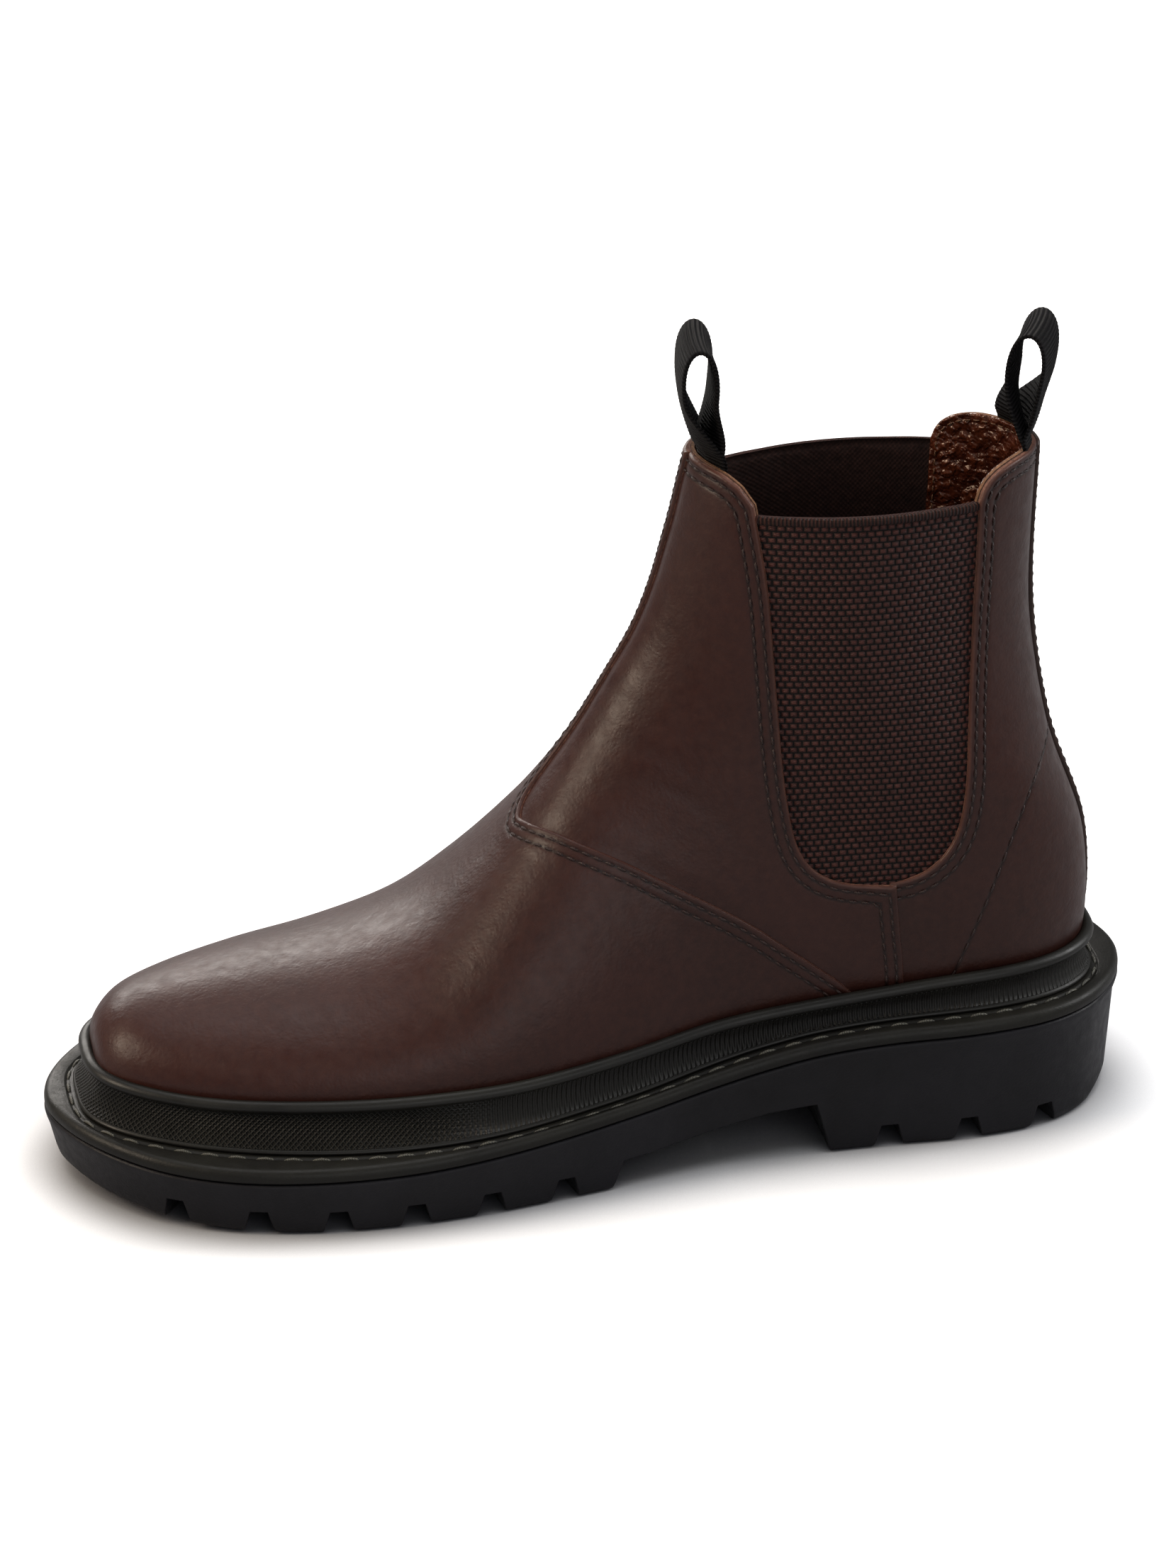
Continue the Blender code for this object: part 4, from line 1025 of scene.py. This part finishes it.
def build_outsole():
    loop = sole_curve(10)
    out = outward(loop)

    def ring(inset, height):
        line = loop - out * inset
        return with_height(line, height(line[:, 0]))

    def under(depth):
        return lambda a: height_along(WELT_LEVEL, a) - EDGE_THICKNESS - depth

    def over_floor(rise):
        return lambda a: sole_bottom(a) + rise

    foot = ((2.0, 0.0), (0.9, 0.25), (0.2, 1.0), (-0.3, 2.4))
    head = ((1.1, 4.6), (0.35, 2.4), (0.05, 1.2), (0.12, 0.75), (0.5, 0.35), (1.4, 0.3))
    rings = [ring(SIDE_TAPER + n, over_floor(z)) for n, z in foot]
    rings += [ring(n, under(z)) for n, z in head]
    obj = paired_loft("lugged_outsole", rings, [OUTSOLE])
    stations = [NOTCH_FIRST_A - NOTCH_PITCH * i for i in range(NOTCH_COUNT)] + list(HEEL_NOTCH_A)
    coarse = sole_curve(2)
    coarse = coarse - outward(coarse) * SIDE_TAPER
    normal = outward(coarse)
    half = len(coarse) // 2
    notches = []
    for side in (range(1, half), range(half + 1, len(coarse))):
        for a in stations:
            k = min(side, key=lambda i: abs(coarse[i, 0] - a))
            inward = -normal[k]
            along = np.array([-inward[1], inward[0]])
            slope = along[1] / (along[0] if abs(along[0]) > 0.2 else 1)
            centre = np.array([a, coarse[k, 1] + (a - coarse[k, 0]) * slope])
            roof = roof_over(a, NOTCH_HEIGHT)
            notches.append(channel(centre, inward, along, NOTCH_WIDTH, NOTCH_REACH, roof))
    cut_channels(obj, notches)
    grooves = []
    for i in range(NOTCH_COUNT - 1):
        a = NOTCH_FIRST_A - NOTCH_PITCH * (i + 0.5)
        centre, reach = np.array([a, CENTRE_GROOVE_M]), (-CENTRE_GROOVE_HALF, CENTRE_GROOVE_HALF)
        inward, along = np.array([0.0, 1.0]), np.array([1.0, 0.0])
        roof = roof_over(a, CENTRE_GROOVE[2])
        grooves.append(channel(centre, inward, along, CENTRE_GROOVE[:2], reach, roof))
    cut_channels(obj, grooves)
    count = len(ARCH_GAP)
    points = [(a, m, z) for m in (-95, 95) for a, z in ARCH_GAP]
    faces = [tuple(range(count)), tuple(range(2 * count - 1, count - 1, -1))]
    faces += [(j, count + j, count + (j + 1) % count, (j + 1) % count) for j in range(count)]
    cut(obj, points, faces)
    obj.data.polygons.foreach_set("use_smooth", np.ones(len(obj.data.polygons), bool))
    obj.data.set_sharp_from_angle(angle=math.radians(32))
    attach(obj, "boot")
    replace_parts(obj, "outsole")


# ---------------------------------------------------------------- pull loops
TAPE_WIDTH = 25.0
TAPE_THICKNESS = 1.3
LOOP_HEIGHT = 29.0
LOOPS = (
    # name, hinge axis (a, z), lean in degrees, half opening, twist in degrees, shift of the sewn-in ends,
    # bow side
    ("front", (117.7, 189.5), 1.0, 5.6, 8.0, -0.95, -1.0),
    ("rear", (30.2, 186.9), -6.0, 6.0, 24.0, -1.1, 1.0),
)
COLLAR_HALF_LENGTH, COLLAR_HALF_WIDTH = 46.4, 30.0
RIB = 1.02
RIPPLE = 0.11
TAPE_HALF = [(-0.5, 0.35), (-0.492, 0.8), (-0.47, 1.0), (-0.25, 1.0), (0.0, 1.0)]
TAIL_LENGTH = 9.0


def loop_path(spread):
    """The tape's middle line in side view: down between leather and lining, round the loop and down again."""
    turn = np.linspace(0.30, 2 * math.pi - 0.30, 560)
    x = spread * np.sin(turn) * np.sin(turn / 2)
    z = LOOP_HEIGHT * (1 - np.cos(turn)) / 2 + 0.1
    tail = np.linspace(-TAIL_LENGTH, -0.2, 60)
    tail_x = 0.34 + (x[0] - 0.34) * smooth_step(tail, -6, 0)
    tail_z = tail + z[0]
    path_x = np.concatenate([tail_x, x, -tail_x[::-1]])
    path_z = np.concatenate([tail_z, z, tail_z[::-1]])
    path = np.column_stack([path_x, path_z])
    reach = lengths(path)
    at = np.arange(0, reach[-1], RIB / 8)
    return at, smooth_chain(read_at(at, reach, path), 6)


def build_loop(name, axis, lean, spread, twist, tail_shift, bow_side):
    """Ribbed tape: sewn-in ends go down between leather and lining, and the loop stands on them."""
    at, path = loop_path(spread)
    along = np.gradient(path, axis=0)
    normal = unit(np.column_stack([along[:, 1], -along[:, 0]]))
    ripple = RIPPLE * np.cos(2 * math.pi * at / RIB)
    turn = math.radians(lean)
    half = TAPE_THICKNESS / 2 * 0.92
    profile = TAPE_HALF + [(-m, h) for m, h in reversed(TAPE_HALF[:-1])]
    section = profile + [(m, -h) for m, h in reversed(profile)]
    lifts, sewns = smooth_step(path[:, 1], 0, 16), 1 - smooth_step(path[:, 1], -2.2, 1.8)
    points, uvs = [], []
    for i, (lift, sewn) in enumerate(zip(lifts, sewns)):
        cos, sin = math.cos(math.radians(twist) * lift), math.sin(math.radians(twist) * lift)
        for m, h in section:
            ribbed = 1.0 if abs(m) < 0.46 else 0.4
            px, pz = path[i] + normal[i] * (half * h * (1 - 0.55 * sewn) + ribbed * ripple[i] * np.sign(h))
            across = TAPE_WIDTH * m
            collar = COLLAR_HALF_LENGTH * (1 - math.sqrt(1 - (across / COLLAR_HALF_WIDTH) ** 2))
            px, across = px * cos + across * sin, across * cos - px * sin
            px += tail_shift * sewn + bow_side * collar * (1 - 0.85 * lift)
            a = axis[0] + px * math.cos(turn) + pz * math.sin(turn)
            z = axis[1] - px * math.sin(turn) + pz * math.cos(turn)
            points.append((a, across, z))
            uvs.append((TAPE_WIDTH * m, at[i]))
    count = len(section)
    faces = skin(len(path), count)
    faces.append(tuple(range(count)))
    faces.append(tuple((len(path) - 1) * count + k for k in reversed(range(count))))
    node = name + "_pull_loop"
    obj = new_object(node + "_tape", np.array(points), faces, [TAPE], None, uvs, body=None)
    recalculate(obj)
    low, high = (tuple(to_world([(axis[0], 0, axis[1] + rise)])[0]) for rise in (-3.0, 3.5))
    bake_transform(obj)
    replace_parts(obj, node)


# ---------------------------------------------------------------- materials
def srgb(hex_colour):
    out = []
    for i in (0, 2, 4):
        c = int(hex_colour[i:i + 2], 16) / 255
        out.append(c / 12.92 if c <= 0.04045 else ((c + 0.055) / 1.055) ** 2.4)
    return (*out, 1.0)


class Value:
    """A node's output that takes part in plain arithmetic."""

    def __init__(self, graph, socket):
        self.graph, self.socket = graph, socket

    def apply(self, operation, *others):
        return self.graph.math(operation, self, *others)

    def __add__(self, other):
        return self.apply("ADD", other)

    def __sub__(self, other):
        return self.apply("SUBTRACT", other)

    def __mul__(self, other):
        return self.apply("MULTIPLY", other)

    def __truediv__(self, other):
        return self.apply("DIVIDE", other)

    def __pow__(self, other):
        return self.apply("POWER", other)

    def __abs__(self):
        return self.apply("ABSOLUTE")

    def wave(self, rate, kind="SINE"):
        return (self * rate).apply(kind)

    def falling(self, power):
        """1 less a power of the value, never under 0."""
        return self.graph.math("SUBTRACT", 1.0, self**power, clamp=True)

    def ramp(self, low, high, start=0.0, end=1.0):
        ends = {"From Min": low, "From Max": high, "To Min": start, "To Max": end}
        return self.graph.node("ShaderNodeMapRange", {"Value": self, **ends})


class Graph:
    """Short ways to build a node material. Colours may be given as sRGB in hexadecimal."""

    def __init__(self, name):
        self.material = bpy.data.materials.new(name)
        self.material.use_nodes = True
        self.tree = self.material.node_tree
        self.shader = self.tree.nodes["Principled BSDF"]

    def node(self, kind, inputs=None, output=0, **settings):
        n = self.tree.nodes.new(kind)
        for key, value in settings.items():
            setattr(n, key, value)
        for key, value in (inputs or {}).items():
            self.put(n.inputs[key], value)
        return Value(self, n.outputs[output])

    def put(self, socket, value):
        if isinstance(value, Value):
            self.tree.links.new(value.socket, socket)
        else:
            socket.default_value = srgb(value) if isinstance(value, str) else value

    def set(self, **inputs):
        for key, value in inputs.items():
            self.put(self.shader.inputs[key.replace("_", " ")], value)

    def math(self, operation, *values, clamp=False):
        return self.node("ShaderNodeMath", dict(enumerate(values)), operation=operation, use_clamp=clamp)

    def mix(self, factor, a, b):
        return self.node("ShaderNodeMix", {0: factor, 6: a, 7: b}, 2, data_type="RGBA")

    def mix_values(self, factor, a, b):
        return self.node("ShaderNodeMix", {0: factor, 2: a, 3: b}, 0, data_type="FLOAT")

    def place(self):
        return self.node("ShaderNodeTexCoord", output="Object")

    def parts(self, vector):
        first = self.node("ShaderNodeSeparateXYZ", {"Vector": vector})
        return [Value(self, socket) for socket in first.socket.node.outputs]

    def uv(self):
        return self.parts(self.node("ShaderNodeUVMap", uv_map="UVMap"))[:2]

    def noise(self, scale, detail=3.0, output=0, **more):
        inputs = {"Vector": self.place(), "Scale": scale, "Detail": detail, "Roughness": 0.55}
        return self.node("ShaderNodeTexNoise", {**inputs, **more}, output)

    def cells(self, scale, feature="F1", where=None):
        inputs = {"Vector": where or self.place(), "Scale": scale}
        return self.node("ShaderNodeTexVoronoi", inputs, feature=feature)

    def field(self, name):
        return self.node("ShaderNodeAttribute", output="Fac", attribute_name=name)

    def bump(self, height, distance, strength=1.0, before=None):
        inputs = {"Height": height, "Distance": distance, "Strength": strength}
        if before is not None:
            inputs["Normal"] = before
        return self.node("ShaderNodeBump", inputs)

    def finish(self, colour, rough, normal, **more):
        self.set(Base_Color=colour, Roughness=rough, Normal=normal, **more)
        return self.material


def leather_material(name, dark, mid, light, gloss=0.40, rows=ROWS, edge_wear_and_highlight="553429"):
    g = Graph(name)
    broad = g.noise(22.0).ramp(0.35, 0.68)
    fine = g.noise(420.0, 4.0).ramp(0.3, 0.72)
    colour = g.mix(fine * 0.45, g.mix(broad, dark, mid), light)
    # painted shade: darker bands in the grooves where threads pull the leather down, and along the counter's
    # line
    edge = g.field("edge")
    seam = g.field("line") * 0.9
    for row in rows:
        seam = seam.apply("MAXIMUM", abs(edge - row).ramp(0.15, 0.75, 0.8, 0.0))
    colour = g.mix(seam, colour, "140a08")
    # painted shade in the creases
    colour = g.mix(g.field("crease") * 0.5, colour, dark)
    # lighter band along the cut edges: partly wear, partly a painted highlight on the rounded edge
    wear_and_highlight_breakup = g.noise(160.0, 4.0).ramp(0.25, 0.65, 0.35, 0.9)
    colour = g.mix(edge.ramp(0.15, 0.85, 1.0, 0.0) * wear_and_highlight_breakup * g.field("bare"), colour, edge_wear_and_highlight)
    rough = g.noise(260.0).ramp(0.3, 0.7, gloss - 0.05, gloss + 0.08)
    wrinkle = g.noise(190.0, 5.0, Roughness=0.5, Distortion=0.8)
    normal = g.bump(g.cells(1150.0, "SMOOTH_F1"), 0.00008, 0.6)
    normal = g.bump(g.cells(620.0).ramp(0.0, 0.22), 0.00006, 0.45, normal)
    normal = g.bump(wrinkle, 0.0005, 0.32, normal)
    return g.finish(colour, rough, normal, Specular_IOR_Level=0.3)


def raw_edge_material(name, dark, light):
    g = Graph(name)
    fibre = g.noise(900.0, 4.0).ramp(0.3, 0.7)
    return g.finish(g.mix(fibre, dark, light), 0.8, g.bump(fibre, 0.0002, 0.6))


def weave_material(name):
    """Elastic webbing: rows of short raised floats, each row shifted by half a step, under a ribbed rim."""
    g = Graph(name)
    along, up = g.uv()
    along = along + (g.noise(60.0, 2.0) - 0.5) * 0.5
    row = up / FLOAT_HEIGHT
    column = along / FLOAT_WIDTH + row.apply("FLOOR").apply("MODULO", 2.0) * 0.5
    x, y = (abs(step.apply("FRACT") - 0.5) for step in (column, row))
    float_height = ((x * 2.25).falling(2.4) * (y * 2.2).falling(2.2)).apply("SQRT")
    yarn = (up + along * 0.25).wave(14.5)
    rim = up.ramp(GORE_TOP_Z - 2.3, GORE_TOP_Z - 1.9)
    ribs = along.wave(6.6) * 0.5 + 0.5
    height = g.mix_values(rim, float_height + yarn * 0.05, ribs)
    body = float_height**1.5
    glint = g.noise(700.0).ramp(0.35, 0.7) * body * 0.45
    # painted shade: near black in the gaps between the floats
    colour = g.mix(glint, g.mix(body, "040202", "3f1d18"), "704036")
    # painted shade between the rim's ribs
    colour = g.mix(rim, colour, g.mix(ribs, "170c0b", "46261f"))
    sheen = float_height.ramp(0.0, 1.0, 0.9, 0.42)
    return g.finish(colour, sheen, g.bump(height, 0.0013), Specular_IOR_Level=0.28)


def cloth_material(name, dark, light, scale=1600.0):
    g = Graph(name)
    x, y, z = g.parts(g.place())
    weave = (x + y).wave(scale * 4) * z.wave(scale * 4) * 0.5 + 0.5
    fuzz = g.noise(500.0, 4.0).ramp(0.3, 0.75)
    normal = g.bump(weave + fuzz, 0.0002, 0.6)
    return g.finish(g.mix(weave * fuzz, dark, light), 0.92, normal, Specular_IOR_Level=0.2)


def crinkled_leather(name, dark, mid, light):
    g = Graph(name)
    swirl = g.noise(260.0, 2.0, 1, Roughness=0.5)
    swirl = g.node("ShaderNodeVectorMath", {0: swirl, 3: 0.0022}, operation="SCALE")
    place = g.node("ShaderNodeVectorMath", {0: g.place(), 1: swirl}, operation="ADD")
    cracks = g.cells(420.0, "SMOOTH_F1", place)
    small = g.cells(1100.0, "SMOOTH_F1", place)
    blotch = g.noise(130.0, 4.0).ramp(0.3, 0.7)
    # lighter on the raised crinkles and darker in the cracks: painted light and shade
    colour = g.mix(cracks.ramp(0.15, 0.6, 0.55, 0.0), g.mix(blotch, dark, mid), light)
    normal = g.bump(cracks * -1.0 + small * -0.3, 0.0016)
    shine = {"Specular_IOR_Level": 0.75, "Specular_Tint": (1.0, 0.8, 0.68, 1.0)}
    return g.finish(colour, blotch.ramp(0, 1, 0.2, 0.32), normal, **shine)


def thread_material(name, dark, light):
    g = Graph(name)
    x, y, z = g.parts(g.place())
    twist = (x + y + z).wave(9000.0).ramp(-1, 1)
    return g.finish(g.mix(twist, dark, light), 0.55, g.bump(twist, 0.00008, 0.7))


def tape_material():
    g = Graph("ribbed_tape")
    across, along = g.uv()
    warp = across.wave(17.0).ramp(-1, 1)
    ribs = along.wave(2 * math.pi / RIB, "COSINE").ramp(-1, 1)
    fuzz = g.noise(900.0).ramp(0.3, 0.7)
    # painted shade in the troughs between the ribs
    colour = g.mix(ribs * fuzz.ramp(0, 1, 0.5, 1.0), "050405", "181617")
    relief = g.bump(ribs, 0.0005, 0.9, g.bump(warp, 0.00012, 0.6))
    return g.finish(colour, 0.7, relief, Specular_IOR_Level=0.12)


def rubber_material(name, dark, light, rough, bevel=0.0):
    g = Graph(name)
    colour = g.mix(g.noise(35.0).ramp(0.35, 0.65), dark, light)
    edges = g.node("ShaderNodeBevel", {"Radius": bevel}, samples=6) if bevel else None
    normal = g.bump(g.noise(1500.0).ramp(0.35, 0.75), 0.00006, 0.5, edges)
    normal = g.bump(g.noise(90.0, 2.0), 0.0004, 0.2, normal)
    rough = g.noise(300.0).ramp(0.3, 0.7, rough - 0.06, rough + 0.08)
    return g.finish(colour, rough, normal, Specular_IOR_Level=0.24)


def rand_material():
    """Fine diamond knurling on the wall at the toe, upright ribs further back."""
    g = Graph("knurled_rand_rubber")
    along, up = g.uv()
    pitch = 2 * math.pi / KNURL_PITCH
    diamonds = (along + up * 1.1).wave(pitch).apply("MAXIMUM", (along - up * 1.1).wave(pitch))
    ribs = along.wave(pitch * 1.1) * 0.45
    height = g.mix_values(g.field("toe"), ribs, diamonds) * g.field("wall").ramp(0.5, 1.0)
    colour = g.mix(g.noise(35.0).ramp(0.35, 0.65), "11100e", "191814")
    # painted highlight on the raised knurls and ribs
    colour = g.mix(height.ramp(0.2, 1.0) * 0.3, colour, "2f2d27")
    normal = g.bump(g.noise(1300.0), 0.00005, 0.5, g.bump(height, 0.0005))
    return g.finish(colour, g.noise(260.0).ramp(0.3, 0.7, 0.36, 0.48), normal, Specular_IOR_Level=0.35)


def hidden_material(name, dark, light, scale, rough, metal=0.0):
    g = Graph(name)
    grain = g.noise(scale, 4.0).ramp(0.3, 0.7)
    return g.finish(g.mix(grain, dark, light), rough, g.bump(grain, 0.0002, 0.5), Metallic=metal)


FLOAT_HEIGHT, FLOAT_WIDTH = 1.62, 2.2
KNURL_PITCH = 1.5
LEATHER = leather_material("brown_leather", "28130f", "301713", "3d2119")
# the back strip's leather is darker than the panels'
STRIP_LEATHER = leather_material(
    "back_strip_leather", "150c0b", "1d110f", "291914", 0.5, (STRIP_ROW,), "33221c"
)
RAW_EDGE = raw_edge_material("raw_leather_edge", "3d251b", "7a5140")
FLESH = raw_edge_material("leather_flesh_side", "4a3023", "6a4a38")
GORE = weave_material("elastic_weave")
GORE_EDGE = cloth_material("elastic_edge", "1d100e", "40241f")
GORE_BACK = cloth_material("elastic_back", "1c110f", "38231e", 1100.0)
TEXTILE = cloth_material("textile_lining", "140f0d", "2a201c")
LINING_LEATHER = crinkled_leather("collar_leather", "210c07", "421a0e", "6a341f")
LINING_EDGE = raw_edge_material("collar_edge", "4a2d1a", "7d5636")
LINING_THREAD = thread_material("collar_thread", "3c2416", "7a5538")
THREAD = thread_material("upper_thread", "120807", "321c17")
WELT_THREAD = thread_material("welt_thread_wax", "2b2a25", "55534a")
TAPE = tape_material()
RAND = rand_material()
MIDSOLE = rubber_material("midsole_rubber", "131210", "1b1a16", 0.42)
OUTSOLE = rubber_material("outsole_rubber", "131215", "1b1a1e", 0.46, 0.0006)
HIDDEN = {
    "toe_puff": hidden_material("stiffened_fleece", "a89878", "cbbd9f", 400.0, 0.9),
    "heel_counter": hidden_material("counter_board", "a08c68", "c2b08c", 300.0, 0.9),
    "insole_board": hidden_material("cellulose_board", "8a7048", "b8a078", 500.0, 0.9),
    "bottom_filler": hidden_material("cork_compound", "6b4f30", "a88860", 350.0, 0.95),
    "shank": hidden_material("steel_strip", "8a8a8e", "b8b8bc", 200.0, 0.32, 1.0),
    "footbed": leather_material("footbed_leather", "22150f", "2f1f17", "3d2a20", 0.55, ()),
}


def finish_cad_nodes():
    for node, material in HIDDEN.items():
        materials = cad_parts[node].data.materials
        materials.clear()
        materials.append(material)


# ---------------------------------------------------------------- stage
LENS = 130.1104
VIEW_PITCH = 0.462576
VIEW_DISTANCE = 1609.69
PLACE_X, PLACE_Y, PLACE_YAW = -66.35, -88.39, 3.387561
TURN_A = 150.0
AIM = (0.004, 0.0, 0.097)
LIGHTS = [
    # name, place (right, away, up from the boot's middle), size, watts, colour, seen in reflections
    ("back_softbox", (-0.6, 1.45, 0.66), (1.2, 0.5), 14.0, (1.0, 0.95, 0.90), True),
    ("left_softbox", (-1.45, -0.38, 0.85), (0.7, 0.8), 17.0, (1.0, 0.84, 0.66), True),
    ("top_softbox", (0.0, 0.3, 1.7), (1.2, 1.0), 7.0, (1, 1, 1), True),
    ("top_fill", (0.0, 0.0, 1.7), (2.0, 1.6), 27.0, (1, 1, 1), False),
    ("right_fill", (1.4, 0.35, 0.8), (0.5, 0.9), 12.0, (1, 1, 1), True),
    ("front_fill", (0.6, -1.6, 0.7), (1.6, 1.2), 7.0, (1, 1, 1), True),
]


def link(name, data):
    obj = bpy.data.objects.new(name, data)
    bpy.context.scene.collection.objects.link(obj)
    return obj


def build_camera():
    """The viewing angle: the boot turned on the floor in front of a camera that looks down at it."""
    along = np.array([math.cos(PLACE_YAW), math.sin(PLACE_YAW)])
    side = np.array([-math.sin(PLACE_YAW), math.cos(PLACE_YAW)])
    from_boot = np.array([-PLACE_X, -VIEW_DISTANCE * math.cos(VIEW_PITCH) - PLACE_Y])
    place = (TURN_A + from_boot @ along, from_boot @ side, VIEW_DISTANCE * math.sin(VIEW_PITCH))
    eye = Vector(to_world([place])[0])
    forward = (Vector(AIM) - eye).normalized()
    right = forward.cross(Vector((0, 0, 1))).normalized()
    data = bpy.data.cameras.new("camera")
    data.sensor_fit, data.sensor_height, data.sensor_width = "VERTICAL", 36.0, 36.0
    data.lens = LENS
    data.clip_start, data.clip_end = 0.05, 50.0
    camera = link("camera", data)
    rotation = Matrix((right, right.cross(forward), -forward)).transposed().to_4x4()
    camera.matrix_world = Matrix.Translation(eye) @ rotation
    bpy.context.scene.camera = camera
    return right, forward


def build_lights(right, forward):
    flat_right, flat_away = (Vector((v.x, v.y, 0)).normalized() for v in (right, forward))
    centre = Vector((0, 0, 0.08))
    for name, (side, away, high), size, power, colour, glossy in LIGHTS:
        data = bpy.data.lights.new(name, "AREA")
        data.shape, data.energy, data.color = "RECTANGLE", power, colour
        data.size, data.size_y = size
        light = link(name, data)
        light.location = centre + flat_right * side + flat_away * away + Vector((0, 0, high))
        light.rotation_euler = (centre - light.location).to_track_quat("-Z", "Y").to_euler()
        light.visible_glossy = glossy


def floor_material():
    """Pale for the camera, with a soft contact shadow and a bright distance.

    It is darker for reflections in the boot.
    """
    g = Graph("pale_floor")
    seen = g.node("ShaderNodeLightPath", output="Is Camera Ray")
    near = g.node("ShaderNodeAmbientOcclusion", {"Distance": 0.03}, "AO", samples=8)
    shade = g.mix(near.ramp(0.1, 0.95), (0.10, 0.10, 0.115, 1.0), (0.93, 0.93, 0.94, 1.0))
    g.set(Base_Color=g.mix(seen, (0.30, 0.30, 0.31, 1.0), shade), Roughness=0.85, Specular_IOR_Level=0.0)
    away = g.node("ShaderNodeVectorMath", {0: g.place()}, "Value", operation="LENGTH")
    g.set(Emission_Color=(1.0, 1.0, 1.0, 1.0), Emission_Strength=away.ramp(0.35, 1.3) * seen)
    return g.material


def build_stage():
    size = 6.0
    mesh = bpy.data.meshes.new("floor")
    corners = [(-size, -size, 0), (size, -size, 0), (size, size, 0), (-size, size, 0)]
    mesh.from_pydata(corners, [], [(0, 1, 2, 3)])
    mesh.materials.append(floor_material())
    floor = link("floor", mesh)
    floor.location.z = -0.0002
    build_lights(*build_camera())
    world = bpy.data.worlds.new("studio")
    world.use_nodes = True
    nodes, links = world.node_tree.nodes, world.node_tree.links
    nodes["Background"].inputs[0].default_value = (1.0, 1.0, 1.0, 1.0)
    level = nodes.new("ShaderNodeMapRange")
    level.inputs["To Min"].default_value, level.inputs["To Max"].default_value = 0.16, 1.0
    links.new(nodes.new("ShaderNodeLightPath").outputs["Is Camera Ray"], level.inputs["Value"])
    links.new(level.outputs[0], nodes["Background"].inputs[1])
    bpy.context.scene.world = world
    bpy.context.scene.view_settings.view_transform = "Standard"


build_upper()
build_bottom()
for loop in LOOPS:
    build_loop(*loop)
finish_cad_nodes()
build_stage()
